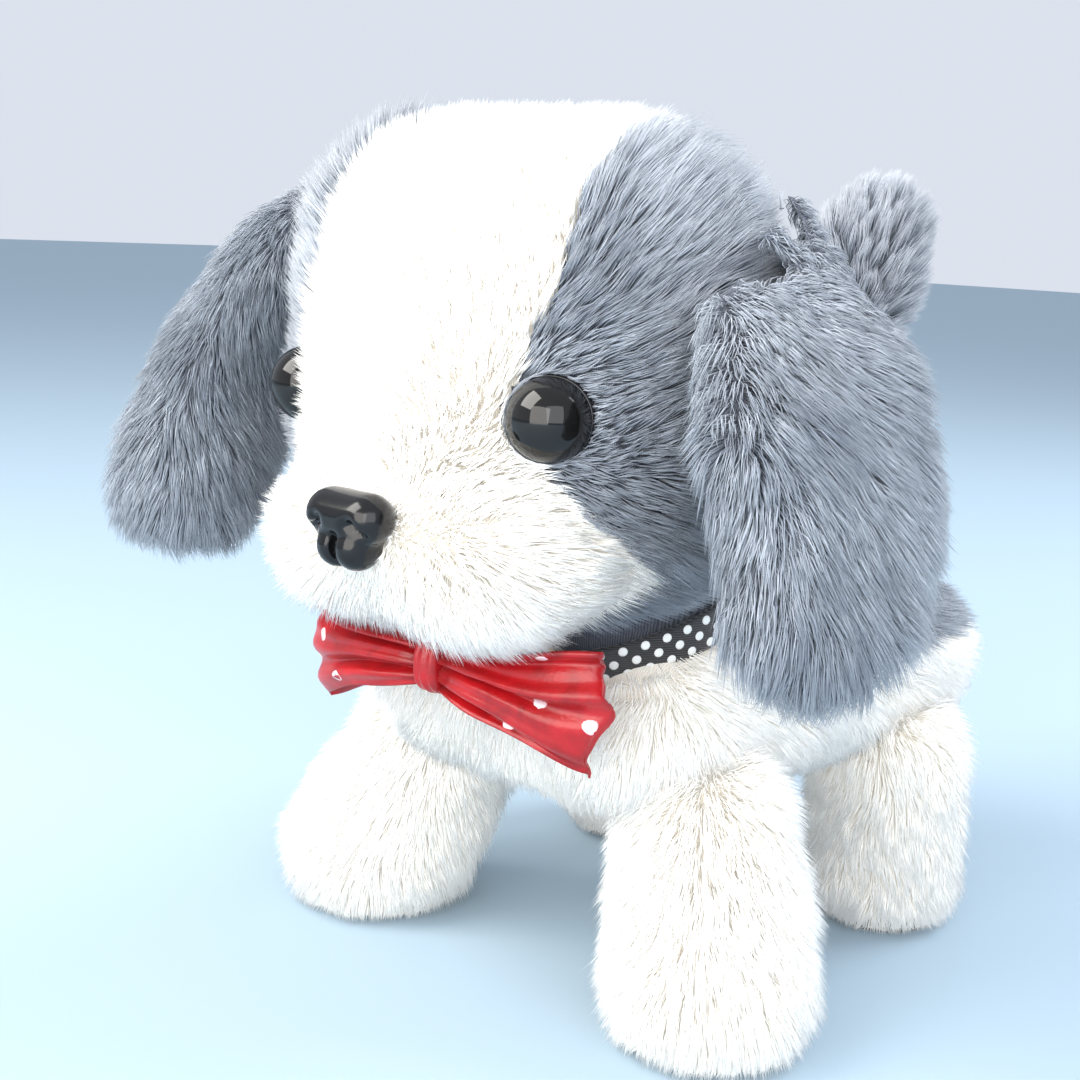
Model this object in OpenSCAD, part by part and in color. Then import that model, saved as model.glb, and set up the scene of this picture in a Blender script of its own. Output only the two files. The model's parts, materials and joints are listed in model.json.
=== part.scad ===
// Walking plush puppy: a battery gearbox with four swinging legs, a nodding
// head and a wagging tail, under padded plush. The dog faces -Y, its left is
// +X, and it stands on z = 0.

/* [Overall] */
// Shift along Y that centres the dog's box on the origin
centre_y = 1.2; // [0:0.1:3]
// Facets round each soft shape
soft_fn = 24; // [20:4:28]
// Depth of the fur and its backing cloth
fur_depth = 7; // [5:0.5:8]

/* [Head] */
// Half width of the head
head_rx = 61; // [58:0.5:62]
// Half depth of the head
head_ry = 47; // [45:0.5:48]
// Height of the crown above the eye line
head_top = 58; // [54:0.5:60]
// Depth of the cheeks below the eye line
head_low = 46; // [43:0.5:47]
// Height of the head's centre
head_z = 121; // [120:0.5:123]
// Place of the head's centre along Y
head_y = -40; // [-42:0.5:-39]
// Radius of each eye dome
eye_r = 8; // [7:0.25:8.5]
// Radius of the round lobes of the nose
nose_r = 5.4; // [5:0.1:6]

/* [Body] */
// Half width of the back
back_rx = 50; // [48:0.5:51]
// Half length of the back
back_ry = 64; // [62:0.5:65]
// Half height of the back
back_rz = 51; // [49:0.5:52]
// Radius of the neck under the collar
neck_r = 37; // [36:0.5:38]
// Height where the grey back meets the white belly
seam_z = 68; // [64:0.5:72]

/* [Legs] */
// Height of the leg pivots and of the crank
pivot_z = 66; // [65:0.5:67]
// Half width between the middles of the front feet
front_foot_x = 48; // [47:0.5:49]
// Half width between the middles of the rear feet
rear_foot_x = 38; // [37:0.5:41]
// Swing of a leg each way, in degrees
leg_swing = 10; // [6:1:10]

/* [Hidden] */

$fn = 48;
ball_fn = 16;
gap = 0.3;
LEFT = 1;
RIGHT = -1;

grey = "slategray";
white = "ivory";
shell_plastic = "whitesmoke";
gear_plastic = "white";
black = "black";
steel = "silver";

// Casing
wall = 2;
case_x = 25;
case_profile = [
    [-30, 44], [53.5, 44], [56, 48], [56, 108], [52, 112], [45, 112], [40, 98], [26, 98], [20, 91], [10.5, 91],
    [-22, 76], [-30, 68]
];
crank_y = 11;
hip_front_y = -18;
hip_rear_y = 40;
boss_sites = [[-25.5, 48.5], [51.5, 97], [-22, 70]];
screw_r = 1.2;

// Batteries, in the belly
cell_r = 7.1;
cell_len = 50;
cell_x = 7.4;
cell_y = -1.5;
cell_z = 53.8;
door_x = 15;
door_y = [-2.6, 49.6];
opening_x = 18.5;
opening_y = [-24, 54.5];

// Gear train
tooth_module = 0.6;
pinion_teeth = 9;
wheel_teeth = 27;
gear_step = tooth_module * (pinion_teeth + wheel_teeth) / 2 + 0.1;
gear_angle = 35;
gear_width = 3;
plane_1 = 12;
plane_2 = 15.5;
plane_3 = 19;
bore_gap = 0.05;
axle_r = 1;
crank_r = 1.5;
crank_throw = 5;

// Legs: each hub turns on a post of the casing
post_r = 2.5;
post_end = 34.9;
hub_r = 5;
hub_x = [28, 34.7];
front_plate_x = 30.6;
rear_plate_x = 32.7;
plate_t = 1.8;
front_foot_y = -36;
rear_foot_y = 46;
front_foot_r = 21;
rear_foot_r = 18;
sleeve_inner_x = 26.5;

// Head
neck = [0, -38, 116];
neck_tilt = 42;
head_c = [0, head_y, head_z];
head_clear = 2.6;
crown_c = [22, -46, 149.5];
crown_r = 30;
muzzle_c = [0, -67, 99];
muzzle_r = [43, 25, 19];
lobe_c = [20, -71.5, 97.5];
lobe_r = 18;
eye_c = [32, -73, 123];
eye_turn = 30;
nose_c = [0, -90, 101];
// Balls of each ear, root then flap: place and radius. The right ear hangs further forward.
ear_root = [
    [[46, -26, 162, 8], [50, -35, 154, 10.5], [57, -60, 145, 7], [74, -36, 131, 10], [72, -74, 124, 8]],
    [[46, -28, 160, 8], [50, -48, 160, 11], [64, -53, 151, 12], [79, -61, 128.7, 12]]
];
ear_flap = [
    [
        [74, -36, 131, 10], [72, -74, 124, 8], [80, -36, 112, 9.4],
        [84, -50, 95, 9.5], [82, -77, 97, 8], [84, -63, 89.5, 8.5]
    ],
    [
        [79, -61, 128.7, 12], [82, -72, 105.6, 11.5], [82, -77, 94, 9.5],
        [78, -63, 92, 10], [80, -48, 112, 9.4], [82, -52, 97, 9]
    ]
];
skull_c = [0, -40, 118];
skull_r = 26;
skull_x = 26;

// Collar
collar_c = [0, -20, 83];
collar_tilt = 22;
collar_w = 8;
collar_t = 1.2;
bow_c = [0, -67, 71.5];
// Balls of one loop of the bow from its centre: place and radius
bow_balls = [[7, 0, 1, 3], [38, 5, 7.5, 3], [34, 5, -11.5, 3], [22, -3, 0, 5]];
knot_r = 3.4;
knot_half = 3.6;

// Tail
tail_pivot = [0, 60, 104];
tail_swing = 15;

function unit(v) = v / norm(v);
function left_normal(v) = [-unit(v)[1], unit(v)[0]];
// The outline p with every side moved inwards by t
function inset(p, t) = [
    for (i = [0 : len(p) - 1])
        let (
            n = len(p),
            a = left_normal(p[i] - p[(i + n - 1) % n]),
            b = left_normal(p[(i + 1) % n] - p[i])
        )
        p[i] + (a + b) * t / (1 + a * b)
];
function gear_centre(k) =
    [crank_y + k * gear_step * cos(gear_angle), pivot_z + k * gear_step * sin(gear_angle)];
function hip_y(front) = front ? hip_front_y : hip_rear_y;

module dog() {
    translate([0, centre_y, 0]) children();
}

// Extrudes a (y, z) outline from x0 to x1
module extrude_x(x0, x1) {
    translate([x0, 0, 0]) rotate([90, 0, 90]) linear_extrude(x1 - x0) children();
}

// A rod along X through the point (y, z)
module rod_x(x0, x1, at, r) {
    translate([x0, at[0], at[1]]) rotate([0, 90, 0]) cylinder(h = x1 - x0, r = r);
}

module box(lo, hi) {
    translate(lo) cube(hi - lo);
}

module side(s) {
    if (s == LEFT) children();
    else mirror([1, 0, 0]) children();
}

module ellipsoid(c, r) {
    hull() translate(c) scale(r) sphere(r = 1, $fn = soft_fn);
}

module ball(c, r) {
    translate(c) sphere(r = r, $fn = soft_fn);
}

// ---------------------------------------------------------------- envelopes

// The head's outer shape, grown by g: a high crown over flatter cheeks
module head_shape(g) {
    reach = 200;
    hull() {
        intersection() {
            translate(head_c) scale([head_rx + g, head_ry + g, head_top + g]) sphere(r = 1, $fn = soft_fn);
            translate([-reach, -reach, head_z]) cube(2 * reach);
        }
        intersection() {
            translate(head_c) scale([head_rx + g, head_ry + g, head_low + g]) sphere(r = 1, $fn = soft_fn);
            translate([-reach, -reach, head_z - 2 * reach]) cube(2 * reach);
        }
        for (s = [LEFT, RIGHT])
            translate([s * crown_c[0], crown_c[1], crown_c[2]]) sphere(r = crown_r + g, $fn = ball_fn);
    }
}

module casing_envelope(g) {
    extrude_x(-case_x - g, case_x + g) polygon(inset(case_profile, -g));
}

module belly_shape(g) {
    hull() {
        for (s = [LEFT, RIGHT]) {
            ball([s * 24, -20, 60], 22 + g);
            ball([s * 26, 44, 60], 22 + g);
        }
    }
}

module neck_shape(g) {
    translate(collar_c) rotate([-collar_tilt, 0, 0]) hull() sphere(r = neck_r + g, $fn = 36);
}

// The hollow that the collar and the head sit in, shrunk by g
module neck_recess(g) {
    translate(collar_c) rotate([collar_tilt, 0, 0]) translate([0, 0, -collar_w / 2 - gap + g])
        cylinder(h = 70, r = neck_r + collar_t + 2 * gap - g, $fn = 36);
}

module body_shape(g) {
    difference() {
        union() {
            ellipsoid([0, 22, 90], [back_rx + g, back_ry + g, back_rz + g]);
            belly_shape(g);
        }
        neck_recess(g);
    }
    neck_shape(g - gap);
}

module sleeve_shape(front, g) {
    foot_x = front ? front_foot_x : rear_foot_x;
    foot_y = front ? front_foot_y : rear_foot_y;
    foot_r = front ? front_foot_r : rear_foot_r;
    top_y = front ? -27 : 44;
    hull() {
        ball([38, top_y, 40], 17 + g);
        translate([foot_x, foot_y, 9 - g]) cylinder(h = 8, r = foot_r + g, $fn = soft_fn);
        translate([foot_x, foot_y, 0.8 - g]) cylinder(h = 1, r = foot_r - 5 + g, $fn = soft_fn);
    }
}

// What a leg's soft sleeve and frame pass through as it swings
module leg_sweep(front) {
    for (a = [-leg_swing, 0, leg_swing]) {
        translate([0, hip_y(front), pivot_z]) rotate([a, 0, 0]) translate([0, -hip_y(front), -pivot_z])
            sleeve_shape(front, 0.8);
    }
    extrude_x(case_x + gap, 37.5) {
        translate([hip_y(front), pivot_z]) circle(r = 8);
        polygon(front ? [[-30, 78], [20, 78], [20, 54], [-10, 54], [-10, 30], [-50, 30]]
                      : [[48, 78], [-2, 78], [-2, 54], [30, 54], [30, 30], [62, 30]]);
    }
}

module tail_shape(g) {
    hull() {
        ball([0, 69, 129], 9 + g);
        ball([0, 77, 147], 14 + g);
        ball([0, 83, 159], 11.5 + g);
    }
}

module tail_sweep() {
    for (a = [-tail_swing, 0, tail_swing]) {
        translate(tail_pivot) rotate([0, a, 0]) translate(-tail_pivot) tail_shape(0.8);
    }
    hull() {
        translate([0, 56, 104]) rotate([-90, 0, 0]) cylinder(h = 10, r = 7, $fn = soft_fn);
        translate([0, 57, 124]) rotate([-90, 0, 0]) cylinder(h = 16, r = 12, $fn = soft_fn);
    }
}

// ------------------------------------------------------------------- casing

module casing_half(s) {
    color(shell_plastic) dog() side(s) difference() {
        union() {
            difference() {
                extrude_x(0, case_x) polygon(case_profile);
                extrude_x(-1, case_x - wall) polygon(inset(case_profile, wall));
            }
            for (b = boss_sites) rod_x(0, case_x - wall / 2, b, 3);
            for (front = [true, false]) rod_x(case_x - wall / 2, post_end, [hip_y(front), pivot_z], post_r);
        }
        // door opening in the floor and the hole for the switch
        box([-1, door_y[0] - 0.4, 40], [door_x + 0.4, door_y[1] + 0.4, 44 + wall + 1]);
        box([-1, -18.2, 40], [4.2, -9.8, 44 + wall + 1]);
        // bearings, axle seats and screw holes
        rod_x(-1, case_x + 1, [crank_y, pivot_z], crank_r + bore_gap);
        for (k = [1, 2]) rod_x(case_x - wall - 1, case_x - 0.8, gear_centre(k), axle_r);
        for (b = boss_sites) rod_x(-1, case_x - 5, b, screw_r);
        if (s == LEFT) for (b = boss_sites) rod_x(-1, case_x + 1, b, screw_r);
        if (s == LEFT) for (b = boss_sites) rod_x(case_x - 2, case_x + 1, b, 2.4);
        for (front = [true, false]) rod_x(case_x + 1, post_end + 1, [hip_y(front), pivot_z], screw_r);
        // slot for the tail axle
        translate([0, tail_pivot[1] - 10, tail_pivot[2]]) rotate([-90, 0, 0]) cylinder(h = 20, r = 1.5);
    }
}

module casing_left() { casing_half(LEFT); }

module casing_right() { casing_half(RIGHT); }

module casing_screws() {
    color(steel) dog() for (b = boss_sites) {
        rod_x(-case_x + 6, case_x - 1.9, b, screw_r);
        rod_x(case_x - 2, case_x - 0.4, b, 2.3);
    }
}

module battery_tray() {
    color("dimgray") dog() difference() {
        box([-door_x - 1.6, -4.2, 46.2], [door_x + 1.6, 51.2, 62.6]);
        box([-door_x - 0.2, -3, 46], [door_x + 0.2, 50, 61.4]);
    }
}

module battery_cells() {
    color("goldenrod") dog() for (s = [LEFT, RIGHT]) {
        // one cell points forwards and the other backwards
        translate([s * cell_x, cell_y + (s == LEFT ? 1.2 : 0), cell_z]) rotate([-90, 0, 0])
            cylinder(h = cell_len - 1.2, r = cell_r);
        translate([s * cell_x, s == LEFT ? cell_y : cell_y + cell_len - 1.2, cell_z]) rotate([-90, 0, 0])
            cylinder(h = 1.2, r = 2.6);
    }
}

module battery_contacts() {
    plate = 4.6;
    color(steel) dog() for (s = [LEFT, RIGHT]) {
        box([s * cell_x - plate, -2.9, cell_z - plate], [s * cell_x + plate, -2.5, cell_z + plate]);
        box([s * cell_x - plate, 49.5, cell_z - plate], [s * cell_x + plate, 49.9, cell_z + plate]);
        // the spring under each flat end, closed up to its last turns
        translate([s * cell_x, s == LEFT ? 49 : -2, cell_z]) rotate([90, 0, 0])
            rotate_extrude() translate([3.4, 0]) circle(r = 0.35);
    }
}

module battery_door() {
    color(shell_plastic) dog() difference() {
        union() {
            box([-door_x, door_y[0], 44], [door_x, door_y[1], 46]);
            for (y = [8, 16, 24, 32]) box([-10, y, 43.2], [10, y + 2, 44]);
        }
        translate([0, 45, 40]) cylinder(h = 10, r = screw_r);
        translate([0, 45, 43]) cylinder(h = 2, r = 2.4);
    }
}

module battery_door_screw() {
    color(steel) dog() {
        translate([0, 45, 43.6]) cylinder(h = 1.4, r = 2.2);
        translate([0, 45, 44.9]) cylinder(h = 1.3, r = screw_r);
    }
}

module switch_body() {
    color(black) dog() difference() {
        box([-4, -20, 46.2], [4, -8, 52]);
        box([-2.6, -18, 46], [2.6, -10, 50]);
    }
}

module switch_knob() {
    color(black) dog() {
        box([-2.3, -17.6, 46.4], [2.3, -14, 49.6]);
        box([-1.6, -16.6, 42], [1.6, -15, 46.4]);
    }
}

module circuit_board() {
    color("darkgreen") dog() {
        box([-21.4, 28, 66], [-19.8, 52, 92]);
        for (z = [70, 78, 86]) box([-19.8, 33, z], [-17.6, 43, z + 5]);
    }
}

module speaker() {
    color("dimgray") dog() translate([-12, -14, 61]) {
        rotate([0, -90, 0]) cylinder(h = 3, r1 = 7, r2 = 8.5);
        rotate([0, 90, 0]) cylinder(h = 3.6, r = 4.5);
    }
}

// --------------------------------------------------------------- gear train

module gear_outline(teeth) {
    pitch = 360 / teeth;
    root = tooth_module * (teeth / 2 - 1.1);
    tip = tooth_module * (teeth / 2 + 0.9);
    polygon([
        for (i = [0 : teeth - 1])
            for (p = [[-0.32, root], [-0.12, tip], [0.12, tip], [0.32, root]])
                let (a = (i + p[0]) * pitch) p[1] * [cos(a), sin(a)]
    ]);
}

// A gear whose tooth points up the train, so that its odd count of teeth
// leaves a gap pointing down it
module gear_x(k, x, teeth, bore) {
    extrude_x(x, x + gear_width) translate(gear_centre(k)) difference() {
        rotate(gear_angle) gear_outline(teeth);
        circle(r = bore);
    }
}

module motor() {
    c = gear_centre(3);
    color(steel) dog() difference() {
        intersection() {
            rod_x(-14, 11, c, 10);
            box([-20, c[0] - 11, c[1] - 7.5], [20, c[0] + 11, c[1] + 7.5]);
        }
        rod_x(0, 12, c, axle_r + bore_gap);
    }
}

module motor_shaft() {
    color(steel) dog() rod_x(0.4, plane_1 + gear_width + 0.4, gear_centre(3), axle_r);
}

module motor_pinion() {
    color("peru") dog() gear_x(3, plane_1, pinion_teeth, axle_r);
}

module compound_gear(k, x_wheel) {
    color(gear_plastic) dog() {
        gear_x(k, x_wheel, wheel_teeth, axle_r + bore_gap);
        gear_x(k, x_wheel + gear_width, pinion_teeth, axle_r + bore_gap);
    }
}

module first_gear() { compound_gear(2, plane_1); }

module second_gear() { compound_gear(1, plane_2); }

module gear_axles() {
    color(steel) dog() {
        for (k = [1, 2]) rod_x(11.4, case_x - 0.8, gear_centre(k), axle_r);
    }
}

module crankshaft() {
    color(steel) dog() rod_x(-case_x - 2.4, case_x + 2.4, [crank_y, pivot_z], crank_r);
}

module crank_gear() {
    color(gear_plastic) dog() gear_x(0, plane_3, wheel_teeth, crank_r);
}

// The crank pin stops just short of the legs' slots
module crank_disc(s) {
    color(gear_plastic) dog() side(s) {
        difference() {
            rod_x(case_x + 0.4, case_x + 2.4, [crank_y, pivot_z], 8);
            rod_x(case_x, case_x + 3, [crank_y, pivot_z], crank_r);
        }
        rod_x(case_x + 2.4, front_plate_x - 0.4, [crank_y + s * crank_throw, pivot_z], 1.4);
    }
}

module crank_disc_left() { crank_disc(LEFT); }

module crank_disc_right() { crank_disc(RIGHT); }

// --------------------------------------------------------------------- legs

// Side view of a leg: a hub, a shin down to the foot and a slotted arm that
// reaches past the crank
module leg_outline(front) {
    hip = hip_y(front);
    foot_y = front ? front_foot_y : rear_foot_y;
    arm = front ? crank_y + 8 : crank_y - 8;
    difference() {
        union() {
            translate([hip, pivot_z]) circle(r = hub_r);
            polygon([[hip - 4, pivot_z], [hip + 4, pivot_z], [foot_y + 5, 6], [foot_y - 5, 6]]);
            translate([min(hip, arm), pivot_z - 3.6]) square([abs(arm - hip), 7.2]);
        }
        translate([crank_y - crank_throw - 1.6, pivot_z - 1.6]) square([2 * crank_throw + 3.2, 3.2]);
    }
}

module leg_frame(front, s) {
    hip = hip_y(front);
    foot_x = front ? front_foot_x : rear_foot_x;
    foot_y = front ? front_foot_y : rear_foot_y;
    plate_x = front ? front_plate_x : rear_plate_x;
    color(shell_plastic) dog() side(s) difference() {
        union() {
            extrude_x(plate_x, plate_x + plate_t) leg_outline(front);
            rod_x(hub_x[0], hub_x[1], [hip, pivot_z], hub_r);
            box([plate_x, foot_y - 5, 6], [foot_x, foot_y + 5, 9]);
            translate([foot_x, foot_y, 3]) cylinder(h = 6, r = 11);
        }
        rod_x(hub_x[0] - 1, hub_x[1] + 1, [hip, pivot_z], post_r + bore_gap);
    }
}

module leg_fur(front, s) {
    foot_x = front ? front_foot_x : rear_foot_x;
    foot_y = front ? front_foot_y : rear_foot_y;
    plate_x = front ? front_plate_x : rear_plate_x;
    color(white) dog() side(s) difference() {
        sleeve_shape(front, 0);
        box([-20, foot_y - 40, 24], [sleeve_inner_x, foot_y + 40, 70]);
        box([plate_x - gap, foot_y - 10.5, 5.7], [plate_x + plate_t + gap, foot_y + (front ? 20 : 8), 60]);
        translate([foot_x, foot_y, -1]) cylinder(h = 10.3, r = 12.6);
        box([plate_x, foot_y - 5.3, 5.7], [foot_x, foot_y + 5.3, 9.3]);
    }
}

module sole_pad(front, s) {
    foot_x = front ? front_foot_x : rear_foot_x;
    foot_y = front ? front_foot_y : rear_foot_y;
    color("gray") dog() side(s) difference() {
        translate([foot_x, foot_y, 0]) cylinder(h = 3, r = 12.3);
        for (d = [-5, 5]) box([foot_x - 13, foot_y + d - 0.6, -1], [foot_x + 13, foot_y + d + 0.6, 0.8]);
    }
}

module leg_pivot_screws() {
    color(steel) dog() for (s = [LEFT, RIGHT], front = [true, false]) side(s) {
        rod_x(case_x + 2, post_end, [hip_y(front), pivot_z], screw_r);
        rod_x(post_end, post_end + 1.3, [hip_y(front), pivot_z], 4);
    }
}

// --------------------------------------------------------------------- neck

// Everything on the neck arm is drawn along the local +Z, from the pivot down
module neck_frame() {
    translate(neck) rotate([neck_tilt, 0, 0]) children();
}

module neck_bracket() {
    color(shell_plastic) dog() difference() {
        union() {
            neck_frame() {
                box([-6, -4.5, -60], [6, 4.5, 0]);
                rod_x(-6, 6, [0, 0], 5);
            }
            // foot plate on the casing's sloping top
            translate([0, 10.5, 91]) rotate([atan(15 / 32.5), 0, 0]) box([-12, -27, 0], [12, -9, 2.4]);
        }
        casing_envelope(0);
        translate([0, neck[1], neck[2]]) rod_x(-7, 7, [0, 0], 2);
    }
}

module neck_pin() {
    color(steel) dog() rod_x(-11, 11, [neck[1], neck[2]], 2);
}

// The way through the head for the neck arm, with room to nod
module neck_passage(extra) {
    neck_frame() box([-8 - extra, -11 - extra, -60], [8 + extra, 11 + extra, 0]);
    rod_x(-8 - extra, 8 + extra, [neck[1], neck[2]], 11 + extra);
}

// --------------------------------------------------------------------- tail

module tail_lever() {
    color(shell_plastic) dog() difference() {
        union() {
            translate([0, 56.3, 104]) rotate([-90, 0, 0]) cylinder(h = 5, r = 4.5);
            hull() {
                translate([0, 59, 108]) sphere(r = 2, $fn = ball_fn);
                translate([0, 67, 124]) sphere(r = 2, $fn = ball_fn);
            }
            hull() {
                translate([0, 67, 124]) sphere(r = 2, $fn = ball_fn);
                translate([0, 82, 158]) sphere(r = 1.6, $fn = ball_fn);
            }
        }
        translate([0, 50, 104]) rotate([-90, 0, 0]) cylinder(h = 20, r = 1.5 + bore_gap);
    }
}

module tail_screw() {
    color(steel) dog() {
        translate([0, 50, 104]) rotate([-90, 0, 0]) cylinder(h = 11.5, r = 1.5);
        translate([0, 61.5, 104]) rotate([-90, 0, 0]) cylinder(h = 1.4, r = 3.2);
    }
}

module tail_fur() {
    color(grey) dog() difference() {
        tail_shape(0);
        hull() {
            translate([0, 59, 108]) sphere(r = 2.3, $fn = ball_fn);
            translate([0, 67, 124]) sphere(r = 2.3, $fn = ball_fn);
        }
        hull() {
            translate([0, 67, 124]) sphere(r = 2.3, $fn = ball_fn);
            translate([0, 82, 158]) sphere(r = 1.9, $fn = ball_fn);
        }
    }
}

// --------------------------------------------------------------- body plush

module body_cuts() {
    head_shape(head_clear);
    for (s = [LEFT, RIGHT], front = [true, false]) side(s) leg_sweep(front);
    tail_sweep();
    casing_envelope(gap);
    neck_frame() box([-13, -13, -60], [13, 13, 0]);
    box([-opening_x, opening_y[0], 30], [opening_x, opening_y[1], 50]);
}

module body_skin() {
    difference() {
        body_shape(0);
        body_shape(-fur_depth);
        body_cuts();
    }
}

module body_stuffing() {
    color("white") dog() difference() {
        body_shape(-fur_depth - gap);
        body_cuts();
    }
}

module back_fur() {
    color(grey) dog() intersection() {
        body_skin();
        box([-80, -80, seam_z + gap / 2], [80, 120, 200]);
    }
}

module belly_fur() {
    color(white) dog() intersection() {
        body_skin();
        box([-80, -80, 0], [80, 120, seam_z - gap / 2]);
    }
}

// ------------------------------------------------------------------- collar

module collar_frame() {
    translate(collar_c) rotate([collar_tilt, 0, 0]) children();
}

module collar_strap() {
    color(black) dog() collar_frame() difference() {
        translate([0, 0, -collar_w / 2]) cylinder(h = collar_w, r = neck_r + collar_t, $fn = 72);
        translate([0, 0, -collar_w]) cylinder(h = 2 * collar_w, r = neck_r, $fn = 72);
    }
}

module collar_buckle() {
    a = -62;
    color("gold") dog() collar_frame() rotate([0, 0, a]) translate([neck_r + collar_t, 0, 0]) difference() {
        box([0, -2, -5.2], [1.2, 2, 5.2]);
        box([-1, -1, -4], [2, 1, 4]);
    }
}

// One loop of the bow, a soft wedge that widens away from the knot
module bow_wing(s) {
    color("crimson") dog() side(s) translate(bow_c) hull() {
        for (p = bow_balls) translate([p[0], p[1], p[2]]) sphere(r = p[3], $fn = ball_fn);
    }
}

module bow_wing_left() { bow_wing(LEFT); }

module bow_wing_right() { bow_wing(RIGHT); }

module bow_knot() {
    color("crimson") dog() difference() {
        translate(bow_c) hull() {
            for (x = [-1.5, 1.5], y = [-1, 5.5], z = [-3, 3])
                translate([x, y, z]) sphere(r = knot_r, $fn = ball_fn);
        }
        for (s = [LEFT, RIGHT]) side(s) box([knot_half, -90, 30], [20, -30, 90]);
    }
}

// --------------------------------------------------------------------- head

module skull_profile(r, half) {
    polygon([[0, 0], [half, 0], [half, r - 6], [half - 6, r], [0, r]]);
}

module skull_half(s) {
    color(shell_plastic) dog() side(s) difference() {
        union() {
            difference() {
                translate(skull_c) rotate([0, 90, 0]) rotate_extrude() rotate(90)
                    mirror([0, 1]) skull_profile(skull_r, skull_x);
                translate(skull_c) rotate([0, 90, 0]) rotate_extrude() rotate(90)
                    mirror([0, 1]) skull_profile(skull_r - wall, skull_x - wall);
            }
            rod_x(7, skull_x - 1, [neck[1], neck[2]], 4.5);
        }
        rod_x(6, 11.4, [neck[1], neck[2]], 2 + bore_gap);
        neck_frame() box([-8, -11, -60], [8, 11, 0]);
    }
}

module skull_left() { skull_half(LEFT); }

module skull_right() { skull_half(RIGHT); }

module face_cuts() {
    for (s = [LEFT, RIGHT]) side(s) {
        translate(eye_c) sphere(r = eye_r + gap);
        eye_frame() rotate([-90, 0, 0]) {
            cylinder(h = 13.2, r = 2.2);
            translate([0, 0, 10]) cylinder(h = 2.4, r = 6.2);
        }
    }
}

module skull_envelope(g) {
    rod_x(-skull_x - g, skull_x + g, [skull_c[1], skull_c[2]], skull_r + g);
}

module head_stuffing() {
    color("white") dog() difference() {
        head_shape(-fur_depth - gap);
        skull_envelope(gap);
        neck_passage(1);
        face_cuts();
        nose_shape(gap);
    }
}

module head_skin() {
    difference() {
        head_shape(0);
        head_shape(-fur_depth);
        neck_passage(1);
        face_cuts();
        muzzle_shape(gap);
    }
}

// Front view of the white blaze, wide on the crown and narrow between the eyes
module blaze_outline(g) {
    half = [[34, 200], [32, 156], [27, 142], [22, 130], [20, 121], [26, 110], [26, 100]];
    polygon(concat(
        [for (p = half) [p[0] + g, p[1]]],
        [for (i = [len(half) - 1 : -1 : 0]) [-half[i][0] - g, half[i][1]]]
    ));
}

module blaze_prism(g) {
    translate([0, -38, 0]) rotate([90, 0, 0]) linear_extrude(90) blaze_outline(g);
}

module head_fur(s) {
    color(grey) dog() side(s) intersection() {
        difference() {
            head_skin();
            blaze_prism(gap);
        }
        box([gap / 2, -200, 0], [200, 200, 300]);
    }
}

module head_fur_left() { head_fur(LEFT); }

module head_fur_right() { head_fur(RIGHT); }

module blaze_fur() {
    color(white) dog() intersection() {
        head_skin();
        blaze_prism(0);
    }
}

module muzzle_shape(g) {
    hull() {
        ellipsoid(muzzle_c, muzzle_r + [g, g, g]);
        for (s = [LEFT, RIGHT])
            translate([s * lobe_c[0], lobe_c[1], lobe_c[2]]) sphere(r = lobe_r + g, $fn = ball_fn);
    }
}

module muzzle_fur() {
    color(white) dog() difference() {
        muzzle_shape(0);
        head_shape(-fur_depth);
        nose_shape(gap);
        face_cuts();
    }
}

module ear(s) {
    color(grey) dog() side(s) difference() {
        union() {
            for (group = [ear_root, ear_flap])
                hull() for (p = group[s == LEFT ? 0 : 1])
                    translate([p[0], p[1], p[2]]) sphere(r = p[3], $fn = ball_fn);
        }
        head_shape(gap);
    }
}

module ear_left() { ear(LEFT); }

module ear_right() { ear(RIGHT); }

module eye_frame() {
    translate(eye_c) rotate([0, 0, eye_turn]) children();
}

module eye(s) {
    color(black) dog() side(s) {
        difference() {
            translate(eye_c) sphere(r = eye_r);
            eye_frame() box([-10, 1.5, -10], [10, 20, 10]);
        }
        eye_frame() rotate([-90, 0, 0]) {
            translate([0, 0, 1]) cylinder(h = 11.6, r = 2);
            translate([0, 0, 10.2]) cylinder(h = 2, r = 6);
        }
    }
}

module eye_left() { eye(LEFT); }

module eye_right() { eye(RIGHT); }

module nose_shape(g) {
    translate(nose_c) hull() {
        for (s = [LEFT, RIGHT]) {
            translate([s * 3.4, 0, 1.8]) sphere(r = nose_r + g, $fn = soft_fn);
            translate([s * 1.6, 0.5, -3.2]) sphere(r = nose_r - 1 + g, $fn = soft_fn);
        }
    }
    translate(nose_c) rotate([-90, 0, 0]) cylinder(h = 13 + g, r = 2 + g);
    translate(nose_c + [0, 9, 0]) rotate([-90, 0, 0]) cylinder(h = 1.6 + g, r = 5 + g);
}

module nose() {
    color(black) dog() nose_shape(0);
}

// -------------------------------------------------------------------- nodes

casing_left();
casing_right();
casing_screws();
battery_tray();
battery_cells();
battery_contacts();
battery_door();
battery_door_screw();
switch_body();
switch_knob();
circuit_board();
speaker();
motor();
motor_shaft();
motor_pinion();
first_gear();
second_gear();
gear_axles();
crankshaft();
crank_gear();
crank_disc_left();
crank_disc_right();
leg_pivot_screws();
neck_bracket();
neck_pin();
tail_lever();
tail_screw();
tail_fur();
leg_frame(true, LEFT);  // leg_frame_front_left
leg_frame(true, RIGHT);  // leg_frame_front_right
leg_frame(false, LEFT);  // leg_frame_rear_left
leg_frame(false, RIGHT);  // leg_frame_rear_right
leg_fur(true, LEFT);  // leg_fur_front_left
leg_fur(true, RIGHT);  // leg_fur_front_right
leg_fur(false, LEFT);  // leg_fur_rear_left
leg_fur(false, RIGHT);  // leg_fur_rear_right
sole_pad(true, LEFT);  // sole_pads_front_left
sole_pad(true, RIGHT);  // sole_pads_front_right
sole_pad(false, LEFT);  // sole_pads_rear_left
sole_pad(false, RIGHT);  // sole_pads_rear_right
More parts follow.
